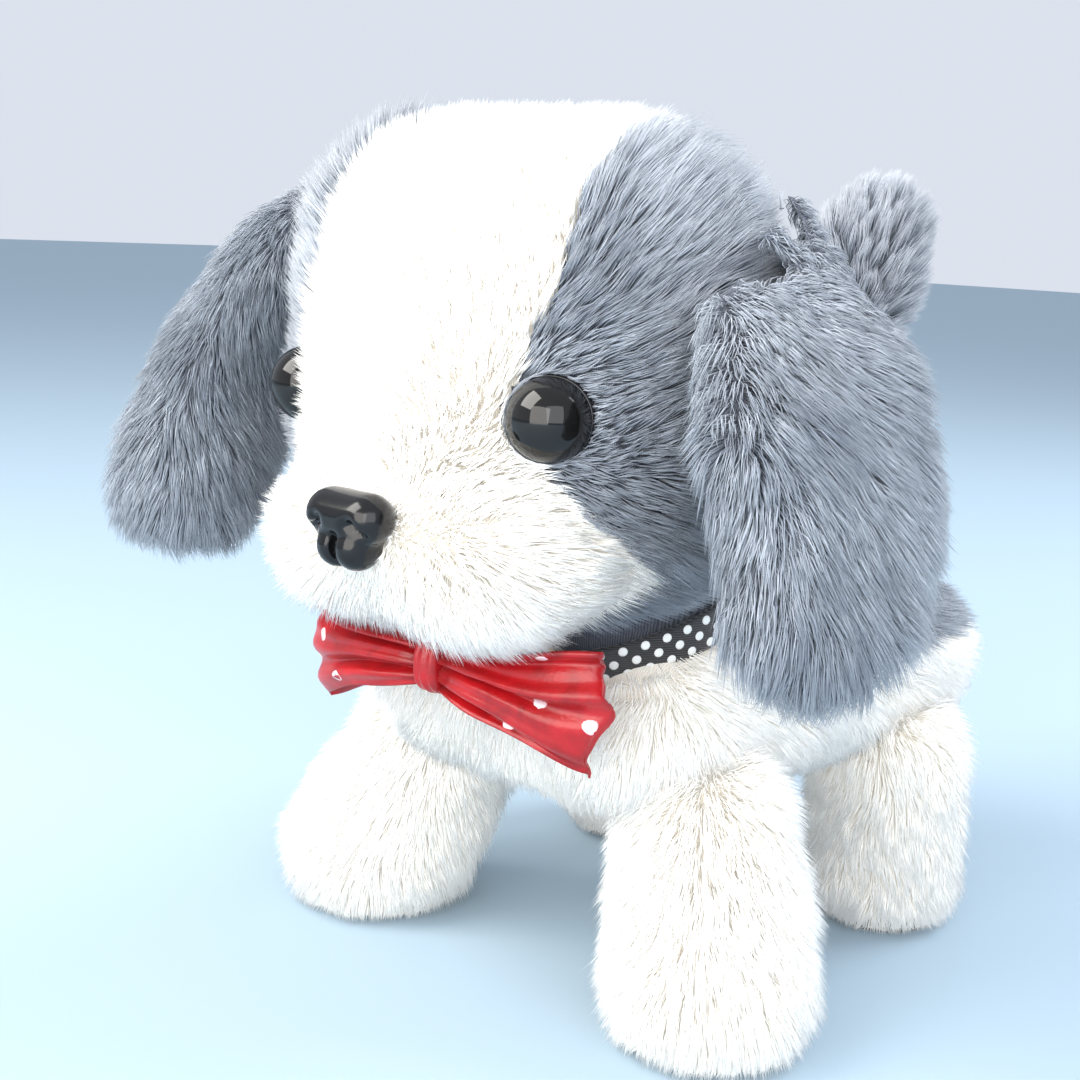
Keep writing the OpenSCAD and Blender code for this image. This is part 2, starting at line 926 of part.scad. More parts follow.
body_stuffing();
back_fur();
belly_fur();
collar_strap();
collar_buckle();
bow_wing_left();
bow_wing_right();
bow_knot();
skull_left();
skull_right();
head_stuffing();
head_fur_left();
head_fur_right();
blaze_fur();
muzzle_fur();
ear_left();
ear_right();
eye_left();
eye_right();
nose();
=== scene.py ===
import itertools
import json
from math import ceil, copysign, cos, pi, radians, sin, tau

import bmesh
import bpy
import numpy as np
from mathutils import Matrix, Vector


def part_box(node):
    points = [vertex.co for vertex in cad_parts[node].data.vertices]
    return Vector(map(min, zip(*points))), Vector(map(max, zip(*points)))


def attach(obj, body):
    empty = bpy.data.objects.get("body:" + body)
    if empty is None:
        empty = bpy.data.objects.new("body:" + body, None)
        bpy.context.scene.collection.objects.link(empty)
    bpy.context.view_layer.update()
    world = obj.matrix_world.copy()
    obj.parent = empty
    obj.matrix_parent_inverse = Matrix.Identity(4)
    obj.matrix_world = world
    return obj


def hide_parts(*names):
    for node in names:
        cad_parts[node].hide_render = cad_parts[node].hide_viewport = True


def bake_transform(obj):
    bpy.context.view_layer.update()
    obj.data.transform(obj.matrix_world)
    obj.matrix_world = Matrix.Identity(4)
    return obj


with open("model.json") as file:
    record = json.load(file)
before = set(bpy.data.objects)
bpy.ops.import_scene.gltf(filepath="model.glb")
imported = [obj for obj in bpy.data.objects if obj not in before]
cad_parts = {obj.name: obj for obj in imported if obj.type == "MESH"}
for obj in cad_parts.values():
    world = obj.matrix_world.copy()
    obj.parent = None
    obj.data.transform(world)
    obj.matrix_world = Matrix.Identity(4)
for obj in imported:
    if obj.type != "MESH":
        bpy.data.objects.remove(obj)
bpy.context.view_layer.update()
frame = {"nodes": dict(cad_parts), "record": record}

# Walking plush puppy. It faces -Y, its own left is +X, and everything is in metres.
# Each plush panel is a cloth backing, inflated by a cloth simulation, and a pile of
# separate tapered fibres that grow from it.

MM = 0.001
SIDES = {"left": 1, "right": -1}
ENDS = ("front", "rear")
FIBRE_MAP = "OFBake"  # the fibres' own UV map: u is a fibre's tone, v runs from root to tip
PIECE_FIBRES = 21000  # the most fibres in one piece
DENSITY = 4.2  # fibres per square millimetre


def vec(*values):
    return np.array(values)


def norms(v):
    return np.linalg.norm(v, axis=1)


# ----- places, from the frame

def corners(*nodes):
    """Lowest and highest corner of several CAD nodes together."""
    boxes = np.array([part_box(n) for n in nodes], float)
    return boxes[:, 0].min(0), boxes[:, 1].max(0)


head_lo, head_hi = corners("head_fur_left", "head_fur_right", "blaze_fur")
HEAD_BELOW = 0.442  # share of the head's height that lies below its widest level
head_r = vec(head_hi[0], 47 * MM, (head_hi[2] - head_lo[2]) * (1 - HEAD_BELOW))
head_low = (head_hi[2] - head_lo[2]) * HEAD_BELOW
head_c = vec(0, head_hi[1] - head_r[1], head_lo[2] + head_low)

muzzle_lo, muzzle_hi = corners("muzzle_fur")
muzzle_r = vec(muzzle_hi[0], muzzle_hi[0] * 0.57, (muzzle_hi[2] - muzzle_lo[2]) / 2)
muzzle_c = vec(0, muzzle_lo[1] + muzzle_r[1], (muzzle_hi[2] + muzzle_lo[2]) / 2)

eye_lo, eye_hi = corners("eye_left")
eye_r = (eye_hi[2] - eye_lo[2]) / 2
eye_c = vec(eye_hi[0] - eye_r, eye_lo[1] + eye_r, eye_lo[2] + eye_r)
EYE_TURN = radians(30)  # how far each eye looks to its own side

nose_lo, nose_hi = corners("nose")
nose_c = vec(0, nose_lo[1] + 5.4 * MM, (nose_lo[2] + nose_hi[2]) / 2)
nose_half = vec(nose_hi[0], 5.4 * MM, (nose_hi[2] - nose_lo[2]) / 2)

back_lo, back_hi = corners("back_fur")
back_r = vec(back_hi[0], back_hi[0] * 1.28, back_hi[0] * 1.02)
back_c = vec(0, back_hi[1] - back_r[1], back_hi[2] - back_r[2])
SEAM_Z = back_lo[2]  # the grey back meets the white belly

belly_lo, belly_hi = corners("belly_fur")
BELLY_R = 22 * MM

strap_lo, strap_hi = corners("collar_strap")
collar_c = (strap_lo + strap_hi) / 2
COLLAR_TILT = radians(22)
collar_r = strap_hi[0]
STRAP_WIDTH = 8 * MM

bow_lo, bow_hi = corners("bow_wing_left", "bow_wing_right", "bow_knot")
knot_lo, knot_hi = corners("bow_knot")
door_hi = corners("battery_door")[1]
tail_lo, tail_hi = corners("tail_fur")

OPENING_SIDE = 3.5 * MM  # the belly opening's margin round the battery door


def leg_places(end, side):
    """Foot centre, foot radius and top centre of one leg."""
    s = SIDES[side]
    lo, hi = corners(f"leg_fur_{end}_{side}")
    pad_lo, pad_hi = corners(f"sole_pads_{end}_{side}")
    foot = (pad_lo + pad_hi) / 2
    radius = abs((hi if s > 0 else lo)[0] - foot[0])
    top = vec(s * 38 * MM, foot[1] + (9 if end == "front" else -2) * MM, 40 * MM)
    return foot, radius, top


def eye_place(s):
    """Centre of the eye on side s and the way it looks."""
    return eye_c * vec(s, 1, 1), vec(s * sin(EYE_TURN), -cos(EYE_TURN), 0)


# ----- noise and fields

def hashed(cells, salt):
    """A fixed random number from 0 to 1 for each whole-numbered cell."""
    h = cells[:, 0] * 73856093 ^ cells[:, 1] * 19349663 ^ cells[:, 2] * 83492791 ^ salt * 265443576
    h = h & 0xFFFFFFFF
    h = ((h ^ (h >> 15)) * 2246822519) & 0xFFFFFFFF
    h = ((h ^ (h >> 13)) * 3266489917) & 0xFFFFFFFF
    return ((h ^ (h >> 16)) & 0xFFFFFF) / 0xFFFFFF


def noise(p, size, salt):
    """Smooth noise from -1 to 1 at points p, with features about size across."""
    q = p / size
    cell = np.floor(q).astype(np.int64)
    f = q - cell
    f = f * f * (3 - 2 * f)
    total = np.zeros(len(p))
    for corner in itertools.product((0, 1), repeat=3):
        weight = np.prod(np.where(corner, f, 1 - f), axis=1)
        total += weight * hashed(cell + np.array(corner), salt)
    return total * 2 - 1


def noise3(p, size, salt):
    return np.stack([noise(p, size, salt + k) for k in range(3)], axis=1)


def unit(v):
    return v / np.maximum(np.linalg.norm(v, axis=-1, keepdims=True), 1e-12)


def step(x, a, b):
    t = np.clip((x - a) / (b - a), 0, 1)
    return t * t * (3 - 2 * t)


def tangent(f, n):
    """f turned to lie along the surface with normals n, as unit vectors."""
    return unit(f - (f * n).sum(1, keepdims=True) * n)


# ----- mesh helpers

def new_object(name, mesh):
    obj = bpy.data.objects.new(name, mesh)
    bpy.context.scene.collection.objects.link(obj)
    return obj


def mesh_object(name, points, faces):
    mesh = bpy.data.meshes.new(name)
    mesh.from_pydata([tuple(p) for p in points], [], [tuple(int(i) for i in f) for f in faces])
    mesh.update()
    mesh.polygons.foreach_set("use_smooth", [True] * len(mesh.polygons))
    return new_object(name, mesh)


def read(items, key):
    values = np.empty(len(items) * 3, np.float32)
    items.foreach_get(key, values)
    return values.reshape(-1, 3).astype(float)


def get_points(obj):
    return read(obj.data.vertices, "co")


def get_normals(obj):
    return read(obj.data.vertex_normals, "vector")


def set_points(obj, points):
    obj.data.vertices.foreach_set("co", points.astype(np.float32).ravel())
    obj.data.update()


def circle(centre, radius, side, up, turns):
    """Points round a circle in the plane of side and up."""
    a = tau * np.arange(turns)[:, None] / turns
    return centre + radius * (np.cos(a) * side + np.sin(a) * up)


def grid_faces(rows, size, ring=True, closed=False, flip=False):
    """Quads of a grid with size points a row. ring joins the ends of each row, and closed
    joins the last row to the first."""
    faces = []
    for i in range(rows if closed else rows - 1):
        for k in range(size if ring else size - 1):
            a, b = i * size + k, i * size + (k + 1) % size
            c, d = (b + size) % (rows * size), (a + size) % (rows * size)
            faces.append((a, d, c, b) if flip else (a, b, c, d))
    return faces


def bake_modifiers(obj):
    """Replaces the mesh by what its modifiers make of it."""
    graph = bpy.context.evaluated_depsgraph_get()
    mesh = bpy.data.meshes.new_from_object(obj.evaluated_get(graph))
    obj.modifiers.clear()
    obj.data = mesh
    mesh.polygons.foreach_set("use_smooth", [True] * len(mesh.polygons))
    return obj


def ball(centre, radii, low=None, detail=4):
    """An icosphere stretched to those radii; low is the radius downwards where it differs."""
    bm = bmesh.new()
    bmesh.ops.create_icosphere(bm, subdivisions=detail, radius=1)
    p = np.array([v.co for v in bm.verts])
    faces = [[v.index for v in f.verts] for f in bm.faces]
    bm.free()
    scale = np.ones((len(p), 3)) * radii
    if low is not None:
        scale[:, 2] = np.where(p[:, 2] < 0, low, scale[:, 2])
    return p * scale + centre, faces


def merged(name, parts):
    """One object from several (points, faces) closed shapes."""
    points, faces, base = [], [], 0
    for p, f in parts:
        points.append(p)
        faces += [[i + base for i in face] for face in f]
        base += len(p)
    return mesh_object(name, np.vstack(points), faces)


def remeshed(obj, voxel, smoothing):
    mod = obj.modifiers.new("remesh", "REMESH")
    mod.mode, mod.voxel_size = "VOXEL", voxel
    soft = obj.modifiers.new("smooth", "SMOOTH")
    soft.factor, soft.iterations = 0.5, smoothing
    return bake_modifiers(obj)


def thicken(obj, wall, offset):
    mod = obj.modifiers.new("thickness", "SOLIDIFY")
    mod.thickness, mod.offset = wall, offset
    bake_modifiers(obj)


def hull_of(parts):
    bm = bmesh.new()
    for p in np.vstack(parts):
        bm.verts.new(p)
    made = bmesh.ops.convex_hull(bm, input=bm.verts)
    bmesh.ops.delete(bm, geom=[v for v in bm.verts if not v.link_faces], context="VERTS")
    bm.verts.index_update()
    out = np.array([v.co for v in bm.verts]), [[v.index for v in f.verts] for f in bm.faces]
    bm.free()
    return out


def inflate(obj, cap, seams=None):
    """Cloth simulation: the closed backing swells under pressure, its seams held back.
    cap is the furthest that any point may move."""
    rest = get_points(obj)
    cloth = obj.modifiers.new("cloth", "CLOTH")
    settings = cloth.settings
    settings.use_pressure = True
    settings.uniform_pressure_force = 4
    settings.effector_weights.gravity = 0
    settings.mass = 0.15
    settings.tension_stiffness = settings.compression_stiffness = 12
    settings.bending_stiffness = 0.4
    if seams is not None:
        group = obj.vertex_groups.new(name="seams")
        group.add([int(i) for i in np.flatnonzero(seams)], 1.0, "REPLACE")
        settings.vertex_group_mass = "seams"
        settings.pin_stiffness = 1
    cloth.point_cache.frame_start, cloth.point_cache.frame_end = 1, 20
    for f in range(1, 21):
        bpy.context.scene.frame_set(f)
    bake_modifiers(obj)
    bpy.context.scene.frame_set(1)
    moved = get_points(obj) - rest
    far = norms(moved)[:, None]
    set_points(obj, rest + moved * np.minimum(1, cap / np.maximum(far, 1e-9)))
    return obj


# ----- materials

class Finish:
    """A material: its Principled shader and the textures that drive it."""

    def __init__(self, name, **values):
        self.material = bpy.data.materials.new(name)
        self.material.use_nodes = True
        self.tree = self.material.node_tree
        self.shader = self.tree.nodes["Principled BSDF"]
        self.set(self.shader, values)

    def set(self, node, values):
        """Sets a node's inputs by name, where _ stands for a space."""
        for name, value in values.items():
            node.inputs[name.replace("_", " ")].default_value = value

    def node(self, kind, **values):
        node = self.tree.nodes.new("ShaderNode" + kind)
        self.set(node, values)
        return node

    def link(self, source, output, target, socket):
        self.tree.links.new(source.outputs[output], target.inputs[socket])

    def texture(self, kind, scale, **values):
        """A texture in the object's own coordinates."""
        node = self.node("Tex" + kind, Scale=scale, **values)
        self.link(self.node("TexCoord"), "Object", node, "Vector")
        return node

    def ramp(self, source, output, stops):
        node = self.node("ValToRGB")
        while len(node.color_ramp.elements) < len(stops):
            node.color_ramp.elements.new(0.5)
        for element, (at, colour) in zip(node.color_ramp.elements, stops):
            element.position = at
            element.color = (*colour, 1)
        self.link(source, output, node, "Fac")
        return node

    def colour(self, texture, stops):
        self.link(self.ramp(texture, "Fac", stops), "Color", self.shader, "Base Color")

    def bump(self, texture, strength, distance):
        node = self.node("Bump", Strength=strength, Distance=distance)
        self.link(texture, "Fac", node, "Height")
        self.link(node, "Normal", self.shader, "Normal")


def fibres(name, root, middle, tip, dark, light, sheen=0.25, painted_glow=0.0):
    """Fibre colour: a ramp from root to tip, made darker or lighter by the fibre's tone. The ramp is
    partly the fibre's own colour and partly painted light: the dark root is painted shade among the
    fibres, the pale tip painted light on the tips.
    The glow is painted light: an emission in the middle colour that stands in for the light that thin pale
    fibres pass on to each other."""
    made = Finish(name, Roughness=0.62, Specular_IOR_Level=0.25, Sheen_Weight=sheen,
                  Sheen_Roughness=0.4, Emission_Color=(*middle, 1), Emission_Strength=painted_glow)
    place, split, mix = made.node("UVMap"), made.node("SeparateXYZ"), made.node("Mix")
    place.uv_map = FIBRE_MAP
    mix.data_type, mix.blend_type = "RGBA", "MULTIPLY"
    mix.inputs["Factor"].default_value = 1
    made.link(place, "UV", split, "Vector")
    # Painted shade and light along each fibre, over its own colour: darker at the root, paler at the tip.
    along = made.ramp(split, "Y", [(0.0, root), (0.45, middle), (1.0, tip)])
    tone = made.ramp(split, "X", [(0.0, dark), (0.5, (1, 1, 1)), (1.0, light)])
    made.link(along, "Color", mix, "A")
    made.link(tone, "Color", mix, "B")
    made.link(mix, "Result", made.shader, "Base Color")
    return made.material


def knitted(name, colour, dark):
    """Knitted backing cloth under a pile."""
    made = Finish(name, Roughness=0.9)
    knit = made.texture("Wave", 900, Distortion=3)
    made.colour(knit, [(0.2, dark), (0.8, colour)])
    made.bump(knit, 0.5, 0.0004)
    return made.material


def plastic(name, colour, roughness, grain=0.15, speckle=0.04, **values):
    """Moulded plastic with a fine spark-eroded grain and faint colour drift."""
    made = Finish(name, Roughness=roughness, **values)
    low = tuple(c * (1 - speckle) for c in colour)
    high = tuple(min(1, c * (1 + speckle)) for c in colour)
    made.colour(made.texture("Noise", 60, Detail=4), [(0.35, low), (0.65, high)])
    made.bump(made.texture("Noise", 2500, Detail=2), grain, 0.0002)
    return made.material


def metal(name, colour, roughness, brushed=0.2):
    """Turned or drawn metal with fine streaks along X."""
    made = Finish(name, Metallic=1, Roughness=roughness)
    stretch = made.node("Mapping", Scale=(200, 4000, 4000))
    streaks = made.node("TexNoise", Scale=1)
    made.link(made.node("TexCoord"), "Object", stretch, "Vector")
    made.link(stretch, "Vector", streaks, "Vector")
    made.colour(streaks, [(0.3, tuple(c * 0.85 for c in colour)), (0.7, colour)])
    made.bump(streaks, brushed, 0.0001)
    return made.material


# Root, middle and tip colours are partly the fibres' own colour and partly painted light: the darker roots
# are painted shade among the fibres, the paler tips painted light on them.
GREY = dict(root=(0.12, 0.135, 0.165), middle=(0.24, 0.268, 0.315), tip=(0.48, 0.515, 0.57),
            dark=(0.62, 0.64, 0.68), light=(1.5, 1.48, 1.45))
WHITE = dict(root=(0.93, 0.88, 0.79), middle=(0.98, 0.96, 0.915), tip=(1.0, 0.995, 0.975),
             dark=(0.97, 0.955, 0.93), light=(1.0, 1.0, 1.0))
grey_pile = fibres("grey_pile", **GREY)
# The white pile gets a faint painted glow: an emission that stands in for light passed on between its pale
# fibres.
white_pile = fibres("white_pile", **WHITE, sheen=0.5, painted_glow=0.1)
grey_cloth = knitted("grey_backing", (0.16, 0.18, 0.22), (0.08, 0.09, 0.12))
white_cloth = knitted("white_backing", (0.95, 0.91, 0.84), (0.86, 0.80, 0.70))
ink = plastic("white_ink", (0.82, 0.82, 0.80), 0.5, grain=0.05)
organza_ink = plastic("organza_print", (0.86, 0.62, 0.62), 0.45, grain=0.2, speckle=0.15)


# ----- fibres

def scatter(obj, density, seed):
    """Random points on a mesh with its smooth normals, density per square millimetre."""
    mesh = obj.data
    mesh.calc_loop_triangles()
    tri = np.empty(len(mesh.loop_triangles) * 3, np.int32)
    mesh.loop_triangles.foreach_get("vertices", tri)
    tri = tri.reshape(-1, 3)
    p, n = get_points(obj), get_normals(obj)
    a, b, c = p[tri[:, 0]], p[tri[:, 1]], p[tri[:, 2]]
    area = norms(np.cross(b - a, c - a)) / 2
    rng = np.random.default_rng(seed)
    count = int(area.sum() / MM**2 * density)
    pick = rng.choice(len(tri), count, p=area / area.sum())
    u, v = rng.random((2, count, 1))
    u, v = np.where(u + v > 1, 1 - u, u), np.where(u + v > 1, 1 - v, v)
    t = tri[pick]
    at = a[pick] + u * (b[pick] - a[pick]) + v * (c[pick] - a[pick])
    normal = unit(n[t[:, 0]] * (1 - u - v) + n[t[:, 1]] * u + n[t[:, 2]] * v)
    return at, normal, rng


def clump_of(p, size, salt):
    """Each point's clump: the number of its nearest jittered grid point."""
    cell = np.floor(p / size).astype(np.int64)
    best, choice = np.full(len(p), np.inf), np.zeros(len(p), np.int64)
    for offset in itertools.product((-1, 0, 1), repeat=3):
        near = cell + np.array(offset)
        jitter = np.stack([hashed(near, salt + k) for k in range(3)], axis=1)
        d = (((near + jitter) * size - p) ** 2).sum(1)
        key = near[:, 0] * 1000003 + near[:, 1] * 10007 + near[:, 2]
        choice = np.where(d < best, key, choice)
        best = np.minimum(best, d)
    return np.unique(choice, return_inverse=True)[1]


def clump_mean(values, clump):
    count = np.maximum(np.bincount(clump), 1)
    return np.stack([np.bincount(clump, values[:, k]) / count for k in range(3)], axis=1)[clump]


def push_out(p, centre, radius):
    """Moves points that are inside a ball to its surface."""
    d = p - centre
    far = norms(d)[:, None]
    return np.where(far < radius, centre + d / np.maximum(far, 1e-9) * radius, p)


def push_from_axis(p, centre, axis, radius, depth):
    """Moves points in a cylinder in front of a face part out sideways."""
    d = p - centre
    along = d @ axis
    side = d - along[:, None] * axis
    far = norms(side)[:, None]
    inside = (far[:, 0] < radius) & (along > -depth)
    return np.where(inside[:, None], p - side + side / np.maximum(far, 1e-9) * radius, p)


class Pile:
    """A pile of fibres: roots, how they lean and flow, and their tone."""

    def __init__(self, at, normal, flow, rng, length, lean=(30, 65), clump=2.6, gather=0.42,
                 curl=0.12, swirl=0.35, width=0.14):
        n = len(at)
        flow = tangent(flow + swirl * noise3(at, 11 * MM, 7), normal)
        flow = tangent(flow + swirl * 0.6 * noise3(at, 4.5 * MM, 17), normal)
        lengths = np.asarray(length) * (0.72 + 0.4 * rng.random(n)) * (1 + 0.14 * noise(at, 7 * MM, 3))
        lean_add = 9 * noise(at, 6 * MM, 29) + rng.normal(0, 7, n)
        self.rings = [at - normal * 0.5 * MM]
        here = at.copy()
        side = np.cross(normal, flow)
        for k, (share, bend) in enumerate(((0.34, 0.1), (0.33, 0.5), (0.33, 1.0))):
            angle = np.radians(np.clip(lean[0] + (lean[1] - lean[0]) * bend + lean_add, 0, 92))[:, None]
            wander = curl * (k + 1) * (noise(at, 2.2 * MM, 41 + k) + rng.normal(0, 0.4, n))[:, None]
            direction = unit(normal * np.cos(angle) + flow * np.sin(angle) + side * wander)
            here = here + direction * (lengths * share)[:, None]
            self.rings.append(here)
        for size, salt, strength in ((clump * 2.3 * MM, 97, 0.35), (clump * MM, 57, 1.0)):
            clump_id = clump_of(at, size, salt)
            for k in (1, 2, 3):
                pull = gather * strength * (k / 3) ** 1.6 * (0.7 + 0.5 * rng.random((n, 1)))
                mean = clump_mean(self.rings[k], clump_id)
                self.rings[k] = self.rings[k] + (mean - self.rings[k]) * np.clip(pull, 0, 0.92)
            if salt == 97:
                self.lock_tone = hashed(np.stack([clump_id] * 3, axis=1), 5)
        fine_tone = hashed(np.stack([clump_id] * 3, axis=1), 9)
        self.tone = np.clip(0.5 + 0.30 * noise(at, 16 * MM, 63) + 0.35 * (fine_tone - 0.5)
                            + 0.2 * (self.lock_tone - 0.5) + rng.normal(0, 0.16, n), 0.01, 0.99)
        self.width = width * MM * (0.75 + 0.5 * rng.random(n))

    def move(self, change):
        """Applies change(points) to every ring above the root."""
        self.rings = [self.rings[0]] + [change(r) for r in self.rings[1:]]

    def part(self, mask=slice(None), flip=1):
        """A pile of some of the fibres, mirrored where flip is -1."""
        twin = Pile.__new__(Pile)
        twin.rings = [r[mask] * vec(flip, 1, 1) for r in self.rings]
        twin.tone, twin.width = self.tone[mask], self.width[mask]
        return twin

    def pieces(self, name, material):
        """Builds the fibres as three-sided needles, open at the root, in pieces of limited size."""
        parts = max(1, ceil(len(self.tone) / PIECE_FIBRES))
        return [self.build(name if parts == 1 else f"{name}_{k + 1}", material, slice(k, None, parts))
                for k in range(parts)]

    def build(self, name, material, some):
        p0, p1, p2, p3 = (r[some] for r in self.rings)
        n = len(p0)
        bend = (p1 + p2) / 2
        axis = unit(p3 - p0)
        across = unit(np.cross(axis, unit(bend - p0 + vec(1e-7, 2e-7, 3e-7))))
        across = np.where(np.abs(across).sum(1, keepdims=True) < 0.5, vec(1.0, 0, 0), across)
        other = np.cross(axis, across)
        w = self.width[some][:, None]
        points = np.empty((n, 7, 3), np.float32)
        for ring, (centre, share) in enumerate(((p0, 1.0), (bend, 0.8))):
            for k in range(3):
                a = tau * k / 3
                points[:, ring * 3 + k] = centre + w * share * (cos(a) * across + sin(a) * other)
        points[:, 6] = p3
        quads = vec([0, 1, 4, 3], [1, 2, 5, 4], [2, 0, 3, 5])
        tips = vec([3, 4, 6], [4, 5, 6], [5, 3, 6])
        base = (np.arange(n) * 7)[:, None, None]
        loops = np.concatenate([(quads + base).reshape(n, -1), (tips + base).reshape(n, -1)], axis=1)
        sizes = np.tile([4, 4, 4, 3, 3, 3], n)
        mesh = bpy.data.meshes.new(name)
        mesh.vertices.add(n * 7)
        mesh.vertices.foreach_set("co", points.ravel())
        mesh.loops.add(loops.size)
        mesh.loops.foreach_set("vertex_index", loops.astype(np.int32).ravel())
        mesh.polygons.add(n * 6)
        mesh.polygons.foreach_set("loop_start", (np.cumsum(sizes) - sizes).astype(np.int32))
        mesh.polygons.foreach_set("use_smooth", np.ones(n * 6, bool))
        mesh.update(calc_edges=True)
        layer = mesh.uv_layers.new(name=FIBRE_MAP)
        height = np.array([0.02] * 3 + [0.5] * 3 + [0.98])
        local = np.concatenate([quads.ravel(), tips.ravel()])
        uv = np.empty((n, len(local), 2), np.float32)
        uv[:, :, 0] = self.tone[some][:, None]
        uv[:, :, 1] = height[local]
        layer.data.foreach_set("uv", uv.ravel())
        mesh.materials.append(material)
        return new_object(name, mesh)


def on_body(pieces, body, slot, *nodes):
    for piece in pieces:
        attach(piece, body)
        if nodes:
            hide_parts(*nodes)


def dress(obj, *materials):
    obj.data.materials.clear()
    for material in materials:
        obj.data.materials.append(material)


def two_tone(obj, white):
    """White backing cloth on the faces in the mask white, grey on the rest."""
    dress(obj, grey_cloth, white_cloth)
    obj.data.polygons.foreach_set("material_index", white.astype(np.int32))


def add_padded(obj, body, slot, fill, *nodes):
    on_body([obj], body, slot, *nodes)


# ----- head

# Half width of the white front of the face at each height, from chin to crown
WHITE_EDGE = [(78, 32), (84, 36), (92, 39), (99, 39), (105, 36), (110, 32), (116, 26), (119, 23.5),
              (122, 22.5), (126, 23.5), (135, 26.5), (142, 29), (150, 30), (165, 31), (180, 28)]
BLAZE_BACK = head_c[1] + 10 * MM  # the blaze ends just behind the crown
CHEEK_BACK = head_c[1] - 13 * MM  # the white of the muzzle ends here on each cheek
PILE_DEPTH = 6.5 * MM
CROWN_X, CROWN_R = 22 * MM, 30 * MM  # the two rounded corners of the crown


def white_share(p):
    """Positive where the face is white, as a distance from the seam."""
    z, half = np.array(WHITE_EDGE).T * MM
    edge = np.interp(p[:, 2], z, half) + 0.8 * MM * noise(p, 5 * MM, 71)
    far_side = step(p[:, 2], 135 * MM, 150 * MM) * (p[:, 0] < 0)
    edge = edge * (1 - 0.17 * far_side)  # the blaze leans a little to the dog's left
    front = BLAZE_BACK - p[:, 1]
    front = np.where(p[:, 2] > 120 * MM, front, CHEEK_BACK - p[:, 1])
    return np.minimum(edge - np.abs(p[:, 0]), front)


def crown_centre(s):
    return vec(s * CROWN_X, head_c[1] - 6 * MM, head_hi[2] - CROWN_R)


def head_backing():
    inner = head_r - PILE_DEPTH
    skull = [ball(head_c, inner, head_low - PILE_DEPTH)[0]]
    lobes = [ball(muzzle_c, muzzle_r - 5.5 * MM)[0]]
    for s in SIDES.values():
        skull.append(ball(crown_centre(s), CROWN_R - PILE_DEPTH, detail=3)[0])
        lobe = vec(s * 20 * MM, muzzle_c[1] - 4.5 * MM, muzzle_c[2] - 1.5 * MM)
        lobes.append(ball(lobe, 12.5 * MM, detail=3)[0])
    parts = [hull_of(skull), hull_of(lobes)]
    obj = remeshed(merged("head_backing", parts), 2.4 * MM, 6)
    p, n = get_points(obj), get_normals(obj)
    dent = np.zeros(len(p))
    for s in SIDES.values():
        dent += 3.5 * MM * np.exp(-((norms(p - eye_place(s)[0]) / (11 * MM)) ** 2))
    set_points(obj, p - n * dent[:, None])
    seam = np.abs(white_share(get_points(obj))) < 1.6 * MM
    return inflate(obj, 1.5 * MM, seam)


def head_flow(p):
    """Fur runs away from the bridge of the nose, over the crown and down the back."""
    bridge = vec(0, muzzle_lo[1] + 12 * MM, muzzle_hi[2] - 8 * MM)
    away = unit(p - bridge)
    behind = step(p[:, 1], head_c[1] - 5 * MM, head_c[1] + 35 * MM)
    return away + behind[:, None] * vec(0, 0.2, -2.0)


def muzzle_flow(p):
    """Fur fans out from the nose and hangs at the chin."""
    away = unit(p - (nose_c + vec(0, 4 * MM, 1 * MM)))
    low = step(nose_c[2] - p[:, 2], 4 * MM, 20 * MM)
    return away + low[:, None] * vec(0, -0.1, -0.9)


def clear_of_face(p):
    """Keeps fibres off the eyes and the nose."""
    for s in SIDES.values():
        eye, look = eye_place(s)
        p = push_from_axis(p, eye, look, eye_r * 0.95, 3 * MM)
        p = push_out(p, eye, eye_r + 0.2 * MM)
    scaled = (p - nose_c) / (nose_half + 0.4 * MM)
    far = norms(scaled)[:, None]
    pushed = nose_c + scaled / np.maximum(far, 1e-9) * (nose_half + 0.4 * MM)
    return np.where(far < 1, pushed, p)


def grow_head():
    backing = head_backing()
    at, normal, rng = scatter(backing, DENSITY, 11)
    eye_gap = np.min([norms(at - eye_place(s)[0]) for s in SIDES.values()], axis=0)
    neck = norms(at - (collar_c + vec(0, -2 * MM, 0)))
    good = (eye_gap > eye_r * 0.8) & (neck > collar_r * 0.92)
    good &= norms((at - nose_c) / nose_half) > 1.0
    at, normal, eye_gap = at[good], normal[good], eye_gap[good]
    white = white_share(at) > 0
    muzzle = white & (at[:, 2] < 118 * MM) & (at[:, 1] < head_c[1] - 10 * MM)
    blaze, grey = white & ~muzzle, ~white
    long = step(eye_gap[grey], 8 * MM, 20 * MM) + 0.45 * step(at[grey][:, 2], 140 * MM, 158 * MM)
    sides = Pile(at[grey], normal[grey], head_flow(at[grey]), rng, (7 + 4.5 * long) * MM, (30, 66))
    blaze_pile = Pile(at[blaze], normal[blaze], head_flow(at[blaze]), rng, 8.5 * MM, (18, 48),
                      gather=0.35, curl=0.08, swirl=0.2)
    at, normal = at[muzzle], normal[muzzle]
    chin = step(muzzle_c[2] - at[:, 2], 0, 18 * MM)
    near_nose = step(norms(at - nose_c), 9 * MM, 22 * MM)
    muzzle_pile = Pile(at, normal, muzzle_flow(at), rng, (5.5 + 3.5 * near_nose + 2 * chin) * MM,
                       (28, 64), gather=0.34, swirl=0.22)
    for pile in (sides, blaze_pile, muzzle_pile):
        pile.move(clear_of_face)
    two_tone(backing, white_share(read(backing.data.polygons, "center")) > 0)
    add_padded(backing, "head", "grey_fur", 0.8)
    left = sides.rings[0][:, 0] > 0
    for side, mask in (("left", left), ("right", ~left)):
        half = sides.part(mask)
        on_body(half.pieces(f"head_pile_{side}", grey_pile), "head", "grey_fur", f"head_fur_{side}")
    on_body(blaze_pile.pieces("blaze_pile", white_pile), "head", "white_fur", "blaze_fur")
    on_body(muzzle_pile.pieces("muzzle_pile", white_pile), "head", "white_fur", "muzzle_fur")


# ----- ears

def cad_copy(node, name):
    return new_object(name, frame["nodes"][node].data.copy())


